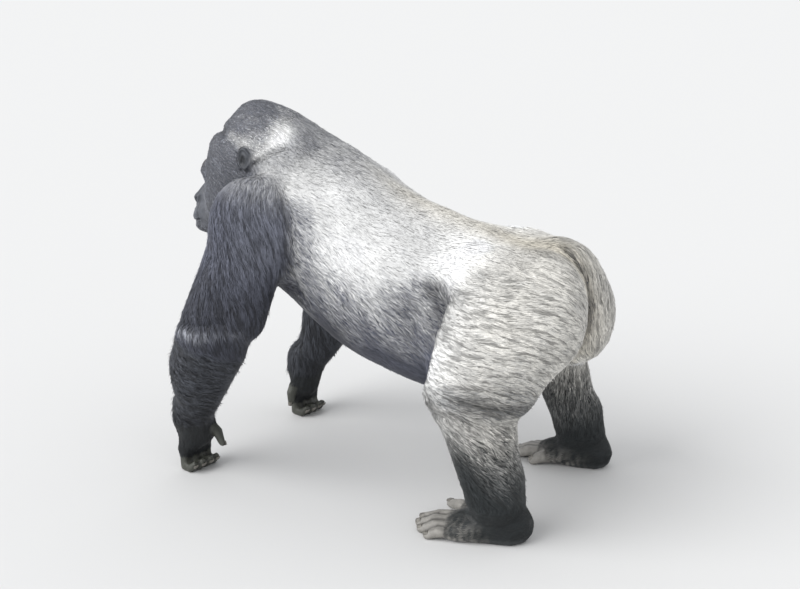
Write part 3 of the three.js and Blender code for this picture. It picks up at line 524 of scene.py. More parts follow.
# %% Lay out the folds and swellings of the face
FOLDS = [  # where each runs, its width, its depth; both sides have them
    ([(15, 30, -10), (27, 44, -30), (37, 50, -56), (36, 58, -76), (26, 66, -88)], 3.4, 3.6),  # round the nose
    ([(46, 34, -46), (56, 42, -84), (64, 44, -118), (60, 44, -148)], 5, 2.6),  # cheek
    ([(14, 12, -15), (33, 14, -21), (54, 2, -13)], 2.4, 1.5),  # three creases under the eye
    ([(16, 16, -22), (36, 16, -31), (60, 0, -22)], 2.8, 1.6),
    ([(20, 22, -31), (40, 18, -42), (64, -2, -34)], 3.0, 1.2),
    ([(17, 14, 9), (34, 17, 15), (52, 6, 8)], 2.4, 1.8),  # over the upper lid
    ([(8, 34, 14), (6, 38, 38)], 3.0, 1.8),  # frown
    ([(62, -2, 84), (32, 4, 88), (0, 8, 88)], 7, 2.2),  # over the brow
    ([(68, 36, -124), (52, 60, -133), (28, 78, -137), (0, 84, -136)], 2.6, 4.2),  # parting of the lips
    ([(34, 60, -163), (16, 68, -168), (0, 70, -169)], 5, 2.0),  # under the lower lip
    ([(22, 74, -84), (20, 80, -112)], 4, 0.8),  # upper lip
]
MIDDLE_FOLDS = [
    ([(0, 38, -6), (0, 54, -26), (0, 66, -48)], 2.6, 1.8),  # ridge of the nose
    ([(0, 72, -70), (0, 78, -108)], 3.0, 1.0),  # middle of the upper lip
]
MOUNDS = [  # centre, half sizes, height; both sides have them
    ((23, 56, -56), (16, 17, 17), 5.5),  # wing of the nose
    ((0, 64, -62), (6, 14, 12), 1.5),  # between the nostrils
    ((0, 84, -126), (48, 20, 7), 1.6),  # edge of the upper lip
    ((0, 84, -147), (42, 20, 8), 2.0),  # edge of the lower lip
    ((38, 8, 66), (40, 28, 15), 8),  # brow
    ((0, 18, 60), (26, 26, 14), 5),  # middle of the brow
    ((44, 8, 30), (34, 26, 13), -9),  # hollow under the brow
    ((26, 22, 38), (32, 22, 10), 6),  # overhang of the brow
    ((34, 10, 4), (26, 24, 16), -3),  # socket
]
every_fold = [(side, width, cut) for path, width, cut in FOLDS for side in both_sides(path)] + MIDDLE_FOLDS
print(len(every_fold), "folds of the face to cut")

# %% Cut and swell the face
NEAR_FACE_HALF = (130, 150, 170)
DEEPEST_ON_FACE = 5
corners = corners_of(skin)
facing = normals_of(skin)
near = np.where(egg_distance(corners, FACE_CENTRE, NEAR_FACE_HALF) < 1)[0]
tree = skin_tree()
move = np.zeros((len(near), 3))
for path, width, cut in every_fold:
    line = [face_place(*p) for p in path]
    shift, deep = fold(corners[near], facing[near], tree, line, width, cut)
    move += shift
    # how deep each corner lies in a fold of the face, kept for painted shade
    fold_shade[near] = np.maximum(fold_shade[near], np.clip(deep / DEEPEST_ON_FACE, 0, 1))
for centre, half, height in MOUNDS:
    for across in {centre[0], -centre[0]}:
        move += mound(corners[near], facing[near], face_place(across, *centre[1:]), half, height)
corners[near] += move
put_corners(skin, corners)
print("the face's skin moved up to", round(float(np.linalg.norm(move, axis=1).max()) * 1000, 1), "mm")

# %% Open the nostrils
NOSTRIL_PLACE = (15, 68, -60)
NOSTRIL_HALF = (11, 11, 8)
NOSTRIL_DEPTH = 14
WAY_IN = np.array([0, 0.86, 0.5])  # back and up into the head

corners = corners_of(skin)
for side in (-1, 1):
    centre = face_place(side * NOSTRIL_PLACE[0], *NOSTRIL_PLACE[1:])
    away = egg_distance(corners[near], centre, NOSTRIL_HALF)
    corners[near] += np.outer(np.clip(1 - away ** 2, 0, 1) * NOSTRIL_DEPTH * MM, WAY_IN)
put_corners(skin, corners)
print("the nostrils are", NOSTRIL_DEPTH, "mm deep")

# %% [markdown]
# ## Lids round the eyes
# The skin runs straight over the eyeballs for now. Seen from the middle of an eyeball, a lid is skin
# lying just outside the ball, and the slit between the lids is where the skin has gone behind it. So
# each corner in front of the ball is set to one of two distances from its middle, with a short rounded
# edge between them.

# %% Shape the lids
LID_THICKNESS = 1.6 * MM
SLIT_HALF = (1.02, 0.56)  # half width and half height of the slit, as angles in radians
SLIT_RADIUS = 0.72  # in the slit the skin lies this far from the ball's middle, in radii of the ball
LID_REACH = 1.9  # the lids end within this many radii of the ball's middle
GAZE = np.array([0.0, -0.985, -0.17])
OUTWARD_LOOK = 0.12  # how far each eye's gaze turns to its own side


def eye_frame(side):
    """Outward to the animal's side, upward, and along the gaze."""
    gaze = GAZE + np.array([OUTWARD_LOOK * side, 0, 0])
    gaze /= np.linalg.norm(gaze)
    across = np.cross(gaze, [0, 0, 1.0])
    across /= np.linalg.norm(across)
    return across, np.cross(across, gaze), gaze


corners = corners_of(skin)
for number, centre in enumerate(eye_centres):
    side = 1 if centre[0] > 0 else -1
    across, up, gaze = eye_frame(side)
    offset = corners - centre
    far = np.linalg.norm(offset, axis=1)
    near_eye = np.where(far < EYE_RADIUS * LID_REACH)[0]
    way = offset[near_eye] / far[near_eye][:, None]
    ahead = way @ gaze
    u = np.arctan2(way @ across, ahead) / SLIT_HALF[0]
    v = np.arctan2(way @ up, ahead) / (SLIT_HALF[1] * (1 - 0.25 * np.clip(u, -1, 1) ** 2))
    slit = 1 - ease(0.86, 1.08, np.sqrt(u ** 2 + np.abs(v) ** 1.7))
    slit = slit * (ahead > 0.05)
    lid = EYE_RADIUS + LID_THICKNESS * (1 + 0.5 * np.exp(-((np.hypot(u, v) - 1.2) / 0.15) ** 2))
    reach = lid * (1 - slit) + (EYE_RADIUS * SLIT_RADIUS) * slit
    hold = (1 - ease(1.25, 1.75, far[near_eye] / EYE_RADIUS)) * ease(0.15, 0.45, ahead)
    hold = np.maximum(hold, slit)
    corners[near_eye] += way * ((reach - far[near_eye]) * hold)[:, None]
put_corners(skin, corners)
print("the eyeballs are", round(EYE_RADIUS * 2000, 1), "mm across")

# %% [markdown]
# ## The ears
# A gorilla's ear is small, close to the head and much like ours: a rolled rim, a groove inside it, a
# second ridge, and a deep bowl in front. All are rings round the middle of the ear, so each is a bump
# or a dip at its own distance from that middle.

# %% Say how high the ear stands at each place
def ear_relief(u, v):
    """Height in millimetres over an ear; u and v run from its middle to its rim, backwards and up."""
    ring = np.hypot(u, v)
    inner_ring = np.hypot(u - 0.05, v + 0.1)
    behind = ease(-0.9, 0.2, u + 0.4 * v)
    above = ease(-0.5, 0.3, v)
    rim = 4.2 * np.exp(-((ring - 0.86) / 0.15) ** 2) * (0.25 + 0.75 * behind)
    groove = 3.2 * np.exp(-((ring - 0.64) / 0.11) ** 2) * behind * (0.3 + 0.7 * above)
    ridge = 2.4 * np.exp(-((inner_ring - 0.46) / 0.1) ** 2) * behind * above
    bowl = 8 * (1 - ease(0.1, 0.62, from_bowl(u, v)))
    flap = 3.6 * np.exp(-(((u + 0.5) / 0.17) ** 2 + ((v + 0.12) / 0.22) ** 2))
    lobe = 2.0 * np.exp(-(((u - 0.1) / 0.3) ** 2 + ((v + 0.78) / 0.16) ** 2))
    joined_to_head = 6.0 * ease(0.1, -0.9, u) + 5.0 * ease(0.5, 1.05, np.abs(v))
    return rim - groove + ridge - bowl + flap + lobe - joined_to_head


def from_bowl(u, v):
    """How far a place is from the middle of the ear's bowl."""
    return np.hypot(u + 0.18, v + 0.12)


# %% Roll the rims of the ears
EAR_MARGIN = 1.3  # the ear's shape fades out this far from its middle
EAR_BREADTH = 30
REAR_PUSH = 7 * MM  # the rear rim stands back from the head

for node in ("ear_left", "ear_right"):
    low, high = (np.array(c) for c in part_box(node))
    side = 1 if low[0] > 0 else -1
    middle, half = (low + high) / 2, (high - low) / 2
    corners = corners_of(skin)
    facing = normals_of(skin)
    reach = (EAR_BREADTH, half[1] / MM * EAR_MARGIN, half[2] / MM * EAR_MARGIN)
    mine = np.where(egg_distance(corners, middle, reach) < 1)[0]
    u = (corners[mine, 1] - middle[1]) / half[1]
    v = (corners[mine, 2] - middle[2]) / half[2]
    outer = ease(0.1, 0.5, facing[mine, 0] * side)
    corners[mine] += np.outer(ear_relief(u, v) * outer * MM, [side, 0, 0])
    corners[mine, 1] += REAR_PUSH * ease(0.2, 0.9, u) * ease(-0.9, -0.1, v) * ease(0.95, 0.3, v)
    # painted shade in the bowl of the ear
    fold_shade[mine] = np.maximum(fold_shade[mine], 0.8 * (1 - ease(0.1, 0.75, from_bowl(u, v))) * outer)
    put_corners(skin, corners)
    print(node, "is", round(half[2] * 2000), "mm tall")
rounded(skin, 1, 0.3)

# %% [markdown]
# ## The markings
# A silverback is slate black on its face, arms, hands and feet, and silver over its back, flanks and
# thighs. One colour is worked out for each corner of the skin from where it is on the body, with painted
# light and shade laid over it, and the tufts later take the colour of the skin that they grow from, so skin
# and coat always agree.

# %% Paints and tools for the markings
def paint(red, green, blue):
    """A colour as a painter would name it, from 0 to 1, turned into the light it gives back."""
    return np.array([red, green, blue]) ** 2.2


SILVER = paint(0.86, 0.86, 0.855)
CREAM = paint(0.85, 0.82, 0.75)
GREY = paint(0.52, 0.53, 0.54)
HEAD_SLATE = paint(0.40, 0.41, 0.445)
ARM_SLATE = paint(0.33, 0.34, 0.385)
FOREARM_SLATE = paint(0.235, 0.244, 0.266)
SOOT = paint(0.166, 0.175, 0.183)
LEG_SOOT = paint(0.175, 0.19, 0.196)
CROWN_BROWN = paint(0.39, 0.35, 0.315)
FACE_SLATE = paint(0.33, 0.34, 0.365)
LIP_DARK = paint(0.175, 0.175, 0.19)
EAR_SLATE = paint(0.26, 0.27, 0.29)
TOE_GREY = paint(0.545, 0.535, 0.515)
FINGER_GREY = paint(0.27, 0.275, 0.253)
HIGHLIGHT_GREY = paint(0.64, 0.65, 0.68)
UNDERCOAT = {"head": HEAD_SLATE, "neck": HEAD_SLATE, "trunk": ARM_SLATE, "ear": EAR_SLATE,
             "upper_arm": ARM_SLATE, "forearm": FOREARM_SLATE, "hand": SOOT, "thigh": GREY,
             "shank": LEG_SOOT, "foot": LEG_SOOT, "toe": TOE_GREY, "digit": FINGER_GREY}


def blended(under, over, amount):
    """One colour laid over another by an amount from 0 to 1."""
    return under + (over - under) * amount[:, None]


def ripples(places, wavelength, seed):
    """Soft random hills and valleys between about -1 and 1, one of each in a wavelength."""
    dice = np.random.default_rng(seed)
    total = np.zeros(len(places))
    for _ in range(10):
        way = dice.normal(size=3)
        way *= 2 * math.pi / (wavelength * np.linalg.norm(way) * dice.uniform(0.7, 1.4))
        total += np.sin(places @ way + dice.uniform(0, 6.28))
    return total / 3.2


# %% Find each corner's place on the body
corners = corners_of(skin)
edges = edges_of(skin)
part = parts_of(corners)
kind = kinds[part]
masks = soft_masks(kind, edges, 6)
x, y, z = corners.T
from_middle = np.abs(x)
folded = np.stack([from_middle, y, z], 1)  # the right half of the body laid over the left
cloud = ripples(corners, 0.16, 1)
puffs = ripples(corners, 0.05, 5)
fleck = ripples(corners, 0.022, 2)


def patch(centre, size):
    """1 at a place on either side of the body, fading to 0 over about this size in metres."""
    return np.exp(-((folded - np.array(centre)) ** 2).sum(1) / size ** 2)


def beside(path, breadth):
    """1 along a line on either side of the body, fading to 0 over about this breadth in metres."""
    return np.exp(-(distance_to(folded, path) / breadth) ** 2)


print("patterned", len(corners), "corners with clouds, puffs and flecks")

# %% Work out the silver of the trunk, and the painted shade on it
SHADE_BEHIND_ARM = [(0.265, -0.165, 0.90), (0.27, -0.14, 0.80), (0.26, -0.13, 0.70), (0.235, -0.12, 0.56)]
HOLLOW = [(0.205, 0.20, 0.72), *FLANK[:4]]
# painted shade in the hollow of the flank, in front of the hip
hollow = 0.75 * patch((0.234, 0.284, 0.68), 0.028) + 0.42 * beside(HOLLOW, 0.045)
behind_thighs = ease(0.42, 0.52, y) * ease(0.36, 0.5, z)
chest = ease(-0.26, -0.34, y) * ease(0.92, 0.82, z)
nape = ease(0.15, 0.08, from_middle) * ease(0.10, -0.16, y)
nape *= np.clip(0.85 + 0.4 * puffs + 0.15 * fleck, 0, 1.4)

trunk_silver_and_shade = ease(0.49, 0.80, z + 0.03 * cloud + 0.008 * puffs)
# painted shade in a band behind the arm
trunk_silver_and_shade *= 1 - 0.66 * beside(SHADE_BEHIND_ARM, 0.052)
# painted shade in the flank's hollow, below the crest of the hip
trunk_silver_and_shade *= 1 - np.clip(hollow, 0, 0.97) * ease(0.775, 0.735, z)
trunk_silver_and_shade = np.maximum(trunk_silver_and_shade, 0.86 * behind_thighs)
# painted shade in the armpit
trunk_silver_and_shade *= 1 - 0.9 * patch((0.20, -0.24, 0.66), 0.09)
# the chest and the nape have less silver, and the cleft gets painted shade
trunk_silver_and_shade *= (1 - chest) * (1 - 0.95 * shade_in_cleft) * (1 - 0.40 * nape)
print("silver over", round(float((trunk_silver_and_shade[kind == "trunk"] > 0.5).mean()) * 100), "% of the trunk")

# %% Work out the silver of the other parts, with painted light and shade on the legs
BEHIND_EAR = [  # centre, size and strength of each pale patch
    ((0.080, -0.305, 1.096), 0.043, 1.15), ((0.107, -0.315, 1.06), 0.030, 0.75),
    ((0.124, -0.345, 1.034), 0.027, 0.6), ((0.131, -0.37, 1.01), 0.026, 0.7),
    ((0.112, -0.395, 1.055), 0.036, 0.52),
]
ABOVE_EAR = [(0.100, -0.476, 1.068), (0.109, -0.44, 1.053), (0.113, -0.415, 1.04)]
behind_ear = sum(strength * patch(centre, size) for centre, size, strength in BEHIND_EAR)
behind_ear = np.clip(behind_ear + 0.62 * beside(ABOVE_EAR, 0.017), 0, 1)
neck_edge = ease(-0.42, -0.33, y + 0.25 * (z - 1.0) + 0.01 * cloud)
head_grizzle = 0.07 + 0.08 * ease(0.98, 1.08, z) * np.clip(fleck, 0, 2)
head_grizzle += 0.30 * ease(-0.38, -0.31, y) * (1 + 0.4 * puffs)
# painted shade under the knee, at the back of the thigh and in the crease under it
thigh_shade = 0.45 * patch((0.37, 0.33, 0.435), 0.06) + 0.30 * patch((0.29, 0.53, 0.48), 0.08)
thigh_shade += 0.36 * beside(UNDER_LEFT_THIGH, 0.035)
# painted light on the upper right shank, in the shade of the left leg
lit_right_shank = 0.78 * ease(0.27, 0.40, z + 0.01 * puffs) * (x < 0)
silver_of = {
    "trunk": trunk_silver_and_shade,
    "neck": np.maximum(neck_edge * ease(0.84, 0.93, z) * (0.70 - 0.40 * nape), behind_ear),
    "head": np.clip(np.maximum(head_grizzle, behind_ear), 0, 1),
    "upper_arm": 0.34 * ease(0.925, 0.99, z) + 0.35 * ease(0.88, 0.98, z) * ease(-0.30, -0.18, y),
    "thigh": 0.90 - thigh_shade,
    "shank": np.maximum(0.80 * ease(0.17, 0.47, z + 0.03 * cloud + 0.01 * fleck), lit_right_shank),
}
# the silver of each corner, with the painted shade and light above in it
silver = sum(masks[name] * amount for name, amount in silver_of.items())
silver = spread(silver, edges, 5)[:, 0]
silver = np.clip(silver + (0.06 * fleck + 0.06 * puffs) * ease(0.05, 0.3, silver), 0, 1)
print("silver over", round(float((silver > 0.5).mean()) * 100), "% of the skin's corners")

# %% Mix the dark and the light hair
dark = sum(masks[name][:, None] * UNDERCOAT[name] for name in PART_NAMES)
dark /= np.maximum(sum(masks.values()), 1e-6)[:, None]
brow = egg_distance(corners, face_place(0, 30, 78), (80, 60, 38)) < 1
dark = blended(dark, CROWN_BROWN, 0.45 * spread(brow.astype(float), edges, 40)[:, 0])
rear_of_arm = masks["upper_arm"] * ease(-0.38, -0.26, y) * ease(0.66, 0.8, z)
dark = blended(dark, HEAD_SLATE, 0.5 * rear_of_arm)
above_elbow = masks["upper_arm"] * ease(0.76, 0.62, z)
above_wrist = masks["forearm"] * ease(0.32, 0.16, z)
dark = dark * (1 - 0.5 * above_elbow - 0.4 * above_wrist)[:, None]

# A painted highlight on the rim of the left elbow's crease, strongest at its front.
ELBOW_HIGHLIGHT = [(0.35, -0.51, 0.535), (0.394, -0.487, 0.545), (0.412, -0.43, 0.545), (0.412, -0.40, 0.54),
             (0.39, -0.345, 0.555), (0.361, -0.30, 0.55)]
elbow_highlight = beside(ELBOW_HIGHLIGHT, 0.013) * (0.25 + 0.85 * ease(-0.34, -0.46, y)) * (x > 0)
elbow_highlight *= 0.8 + 0.5 * ripples(corners, 0.03, 3)
dark = blended(dark, HIGHLIGHT_GREY, 0.72 * np.clip(elbow_highlight, 0, 1))

spine = np.exp(-(x / 0.06) ** 2) * ease(-0.15, 0.1, y)
hind = ease(0.22, 0.5, y) * ease(0.15, 0.35, z)
light = SILVER + (CREAM - SILVER) * np.clip(0.5 * spine + 0.36 * hind, 0, 1)[:, None]
print("dark hair", dark.mean(0).round(2), "and light hair", light.mean(0).round(2), "on the mean")

# %% Paint light and shade on the coat in patches
PAINTED_LIGHT_AND_SHADE = [  # centre, size and how much painted light, or painted shade below 0; both sides have them
    ((0.25, -0.01, 0.79), 0.11, 0.38),  # ribs
    ((0.17, -0.08, 0.94), 0.07, 0.25),  # shoulder blade
    ((0.13, 0.33, 0.825), 0.08, 0.50),  # crest of the hip
    ((0.17, 0.24, 0.775), 0.04, 0.30),
    ((0.20, 0.31, 0.745), 0.035, 0.40),
    ((0.29, -0.21, 0.895), 0.045, 0.45),  # back of the shoulder
    ((0.09, 0.58, 0.43), 0.07, 0.55),  # inner face of the thigh
    ((0.30, 0.285, 0.52), 0.06, 0.55),  # front of the thigh
    ((0.28, 0.40, 0.70), 0.10, 0.12),  # side of the thigh
    ((0.098, -0.305, 1.073), 0.045, 0.50),  # behind the ear
    ((0.06, 0.51, 0.825), 0.06, -0.34),  # root of the rump
    ((0.10, -0.20, 1.05), 0.09, -0.22),  # slope of the neck
    ((0.12, -0.235, 0.98), 0.05, -0.10),
    ((0.22, 0.40, 0.775), 0.05, -0.16),  # behind the hip
    ((0.366, -0.384, 0.715), 0.06, -0.30),  # side of the upper arm
    ((0.197, -0.08, 0.524), 0.08, -0.50),  # under the chest
    ((0.224, 0.264, 0.684), 0.03, -0.15),  # hollow of the flank
    ((0.25, 0.20, 0.66), 0.06, -0.22),
    ((0.262, 0.30, 0.64), 0.03, -0.25),
    ((0.236, 0.33, 0.712), 0.035, -0.22),
    ((0.343, 0.302, 0.425), 0.036, -0.62),  # under the knee
    ((0.375, 0.42, 0.46), 0.07, -0.30),  # foot of the thigh
    ((0.33, 0.51, 0.485), 0.06, -0.30),
]
LIGHTEST = 0.93  # no hair gives back more light than this
painted_light = np.ones(len(corners))
for centre, size, change in PAINTED_LIGHT_AND_SHADE:
    painted_light *= 1 + change * patch(centre, size)
# painted shade in the crease under the left thigh
painted_light *= 1 - 0.35 * masks["thigh"] * beside(UNDER_LEFT_THIGH, 0.032)
# painted shade in the folds and in the cleft
painted_light *= (1 - 0.5 * fold_shade) * (1 - 0.72 * shade_in_cleft)
dark, light = dark * painted_light[:, None], light * painted_light[:, None]
# the coat's colour: the markings with their painted light and shade
marking_with_light_and_shade = np.minimum(blended(dark, light, silver), LIGHTEST)
print("the tone goes from", painted_light.min().round(2), "to", painted_light.max().round(2))

# %% Colour the bare face and the feet, with painted shade in the eye sockets, between the toes and in the folds
LIPS_HALF = (52, 30, 15)
SOCKET_HALF = (34, 40, 24)
bare_face = spread(naked_face(corners, masks), edges, 2)[:, 0]
bare = naked(corners, masks, bare_face, 1.5)
marking_with_light_and_shade = blended(marking_with_light_and_shade, FACE_SLATE, bare_face)
lips = 1 - ease(0.6, 1.1, egg_distance(corners, face_place(0, 84, -140), LIPS_HALF))
marking_with_light_and_shade = blended(marking_with_light_and_shade, LIP_DARK, 0.8 * lips * bare_face)
# painted shade in the eye sockets
socket_shade = 1 - ease(0.4, 1.1, egg_distance(folded, face_place(33, 12, 4), SOCKET_HALF))
marking_with_light_and_shade *= (1 - 0.35 * socket_shade * bare_face)[:, None]

# painted shade in the gaps between the toes and between the fingers
here, there = edges.T
both_digits = np.isin(kind[here], ["toe", "digit"]) & (kind[here] == kind[there])
parted = (part[here] != part[there]) & both_digits
shade_between_toes = np.zeros(len(corners))
shade_between_toes[edges[parted].ravel()] = 1
shade_between_toes = np.clip(2 * spread(shade_between_toes, edges, 3)[:, 0], 0, 1)
marking_with_light_and_shade *= (1 - 0.55 * shade_between_toes)[:, None]
# painted shade in the folds of the face and the bowls of the ears
marking_with_light_and_shade *= (1 - 0.45 * fold_shade * np.clip(bare_face + masks["ear"], 0, 1))[:, None]

forward_of_heel = 0.12 * (x < 0)  # the right foot stands further back
front_of_foot = masks["foot"] * ease(0.50 + forward_of_heel, 0.38 + forward_of_heel, y)
freckles = np.clip(0.55 + 0.6 * ripples(corners * [1, 1.6, 0.5], 0.022, 4), 0, 1)
mottle = front_of_foot * ease(0.085, 0.03, z) * freckles
near_toes = spread(masks["toe"], edges, 60)[:, 0] * masks["foot"] * 1.6
marking_with_light_and_shade = blended(marking_with_light_and_shade, TOE_GREY, np.clip(0.8 * mottle + 0.65 * near_toes, 0, 1))


def add_numbers(thing, name, values):
    """Keeps one number, or three, for each corner, where a material can read them."""
    kind_of_number = "FLOAT" if values.ndim == 1 else "FLOAT_VECTOR"
    layer = thing.data.attributes.new(name, kind_of_number, "POINT")
    field = "value" if values.ndim == 1 else "vector"
    layer.data.foreach_set(field, np.asarray(values, np.float32).ravel())


add_numbers(skin, "marking_with_light_and_shade", marking_with_light_and_shade)
add_numbers(skin, "bare", bare)
print("lightest", marking_with_light_and_shade.max(0).round(2), "darkest", marking_with_light_and_shade.min(0).round(2))

# %% [markdown]
# ## The lie of the coat
# Hair on a real animal streams back from the face, down the neck and flanks, and down the limbs. On a
# gorilla's forearm and thigh it sweeps backwards round the limb instead. Each part gets one rough
# direction, the directions are blended over the borders, and each is then pressed flat onto the skin.

# %% Tools for combing
def pressed_flat(ways, out):
    """The part of each direction that runs along the skin, one long."""
    ways = ways - out * (ways * out).sum(1)[:, None]
    return ways / np.maximum(np.linalg.norm(ways, axis=1), 1e-9)[:, None]


broad_facing = spread(normals_of(skin), edges, 30)
broad_facing /= np.linalg.norm(broad_facing, axis=1)[:, None]
hand_side = np.sign(x)


def swept_back(down, down_behind):
    """Backwards round a limb: outwards over its front, back over its side, down its inner face."""
    way = np.stack([-hand_side * broad_facing[:, 1], np.abs(broad_facing[:, 0]) + 0.15, 0 * x], 1)
    inner = ease(0.1, -0.6, broad_facing[:, 0] * hand_side)
    behind = ease(0.2, 0.95, broad_facing[:, 1])
    way = way * (1 - 0.8 * inner)[:, None]
    way[:, 2] = -(down + (down_behind - down) * behind + 0.8 * inner)
    return way


def straight(*way):
    """The same direction for every corner."""
    return np.tile(np.array(way, float), (len(corners), 1))


print("smoothed the facing of", len(broad_facing), "corners")

# %% Comb the coat
facing = normals_of(skin)
lie = {name: straight(0, 0.9, -0.5) for name in PART_NAMES}
lie["head"] = straight(0, 1, -0.45) + np.outer(ease(1.0, 0.8, z), [0, -0.5, -0.8])
lie["neck"] = straight(0, 1, -0.8)
lie["trunk"] = np.stack([0 * x, 1 + 0 * x, -0.15 - 0.65 * (1 - np.abs(broad_facing[:, 2]))], 1)
lie["upper_arm"] = straight(0, 0.32, -1) + np.outer(ease(-0.30, -0.45, y), [0, -0.25, 0])
lie["upper_arm"][:, 0] += 0.9 * hand_side * ease(0.25, 0.8, broad_facing[:, 2])  # outwards over the top
lie["forearm"] = swept_back(0.35, 0.5)
lie["thigh"] = swept_back(0.12, 0.8)
lie["shank"] = swept_back(0.85, 1.2)
lie["hand"] = straight(0, -0.2, -1)
lie["foot"] = straight(0, -1, -0.3)
rump = masks["trunk"] * ease(0.26, 0.45, y)
flow = sum(masks[name][:, None] * lie[name] for name in PART_NAMES)
over_rump = swept_back(0.12, 0.8) * 0.75 + lie["trunk"] * 0.25 + np.outer(hand_side, [0.25, 0, 0])
flow = flow * (1 - rump[:, None]) + over_rump * rump[:, None]
flow = pressed_flat(spread(pressed_flat(flow, facing), edges, 25), facing)
print("combed", len(flow), "places")

# %% [markdown]
# ## An unwrap of the skin, to carry the colours
# A game engine needs every piece's colours on a flat picture. The body is slit like a paper pattern:
# each part is a tube round its own axis, rolled out into a rectangle of its own. A tuft takes a tiny
# patch of that picture, at the place where it is rooted.

# %% Roll each part out into its rectangle
RECTANGLES = {  # left, bottom, width and height of each part's place on the pattern
    "trunk": (0.0, 0.0, 1.0, 0.34), "thigh": (0.0, 0.345, 0.48, 0.2), "upper_arm": (0.49, 0.345, 0.51, 0.2),
    "shank": (0.0, 0.55, 0.33, 0.17), "forearm": (0.34, 0.55, 0.33, 0.17), "neck": (0.68, 0.55, 0.32, 0.17),
    "head": (0.0, 0.725, 0.5, 0.27), "foot": (0.51, 0.725, 0.48, 0.09), "hand": (0.51, 0.82, 0.24, 0.09),
    "ear": (0.76, 0.82, 0.23, 0.09), "toe": (0.51, 0.915, 0.24, 0.08), "digit": (0.76, 0.915, 0.23, 0.08),
}
FORE_AND_AFT = ("trunk", "neck", "foot", "toe")  # parts whose tube lies along Y; the others stand up
SINGLE = ("trunk", "neck", "head")  # parts that the body has only one of


def roll(own, lies_along_y):
    """How far round its tube, and how far along it, each point of a part is, both from 0 to 1."""
    low, high = own.min(0), own.max(0)
    middle = (low + high) / 2
    along, first, second = (1, 0, 2) if lies_along_y else (2, 0, 1)
    turn = np.arctan2(own[:, first] - middle[first], own[:, second] - middle[second]) / (2 * math.pi) + 0.5
    reach = (own[:, along] - low[along]) / max(high[along] - low[along], 1e-6)
    return turn, reach


def rolled_out(places, kinds_here):
    """The place of each point on the pattern; where a part comes in pairs, each side has half the width."""
    pattern = np.zeros((len(places), 2))
    on_right = places[:, 0] < 0
    for name, (left, bottom, width, height) in RECTANGLES.items():
        mine = kinds_here == name
        sides = [(mine, 0)] if name in SINGLE else [(mine & ~on_right, 0), (mine & on_right, 0.5)]
        for chosen, start in sides:
            turn, reach = roll(places[chosen], name in FORE_AND_AFT)
            share = turn / len(sides) + start
            pattern[chosen] = np.stack([left + width * share, bottom + height * reach], 1)
    return pattern


pattern = rolled_out(corners, kind)


def add_pattern(thing, places):
    """Gives a piece its map, from one place for each corner of each face."""
    layer = thing.data.uv_layers.new(name="OFBake", do_init=False)
    layer.uv.foreach_set("vector", np.asarray(places, np.float32).ravel())


def corners_of_faces(thing):
    found = np.empty(len(thing.data.loops), np.int32)
    thing.data.loops.foreach_get("vertex_index", found)
    return found


add_pattern(skin, pattern[corners_of_faces(skin)])
print("pattern spans", pattern.min(0).round(3), pattern.max(0).round(3))

# %% [markdown]
# ## The coat
# A tuft is a thin leaf: rooted under the skin, widest and highest at its middle, and drawn to a point.
# Six small triangles make one, so a whole coat of them stays light. The middle and the tip are laid on
# the skin again after the root, so that a tuft bends with the body instead of sticking out.

# %% Set how the tufts grow on each part
# Tufts for each square decimetre; length, width and lift in millimetres; unruliness; how strong the painted
# light on the ridges of the locks and the painted shade in their furrows are; and the share of stray tufts
# that stand up.
GROWTH = {
    "head": (1150, 12, 1.8, 2.2, 0.12, 0.40, 0.03), "neck": (700, 24, 2.6, 3.4, 0.12, 0.22, 0.04),
    "trunk": (600, 32, 3.0, 3.6, 0.10, 0.27, 0.04), "ear": (300, 6, 1.2, 0.6, 0.3, 0.1, 0.02),
    "upper_arm": (640, 36, 2.9, 4.2, 0.08, 0.44, 0.05), "forearm": (720, 33, 2.9, 5.0, 0.15, 0.56, 0.11),
    "hand": (860, 14, 2.0, 2.4, 0.2, 0.3, 0.05), "thigh": (690, 30, 2.8, 4.0, 0.09, 0.55, 0.04),
    "shank": (730, 26, 2.9, 3.6, 0.12, 0.45, 0.05), "foot": (860, 11, 2.0, 1.8, 0.2, 0.3, 0.04),
    "toe": (200, 5, 1.2, 0.5, 0.2, 0.1, 0.02), "digit": (200, 5, 1.2, 0.5, 0.2, 0.1, 0.02),
}
DENSITY, LENGTH, WIDTH, LIFT, UNRULY, FURROW_SHADE, STRAYS = range(7)
growth = sum(masks[name][:, None] * np.array(GROWTH[name]) for name in PART_NAMES)
growth /= np.maximum(sum(masks.values()), 1e-6)[:, None]
growth[:, FURROW_SHADE] += 0.22 * ease(0.45, 0.62, y) * masks["trunk"]  # the rump's locks get painted light and shade as strong as the thigh's
high_in_front = ease(0.66, 0.80, z) * ease(0.50, 0.36, y)
# less painted light and shade high on the front of the hip and thigh
growth[:, FURROW_SHADE] -= 0.25 * high_in_front * (masks["thigh"] + masks["trunk"])
growth[:, FURROW_SHADE] -= 0.26 * ease(0.88, 0.97, z) * masks["upper_arm"]  # the top of the shoulder gets little painted light and shade in its locks
covered = np.clip(1 - 1.6 * bare, 0, 1)
print("tufts for each square decimetre:", round(float(growth[:, DENSITY].mean())), "on the mean")


# %% Strew the roots of the tufts
def triangles_of(thing):
    """The three corners of each triangle."""
    thing.data.calc_loop_triangles()
    found = np.empty(len(thing.data.loop_triangles) * 3, np.int32)
    thing.data.loop_triangles.foreach_get("vertices", found)
    return found.reshape(-1, 3)


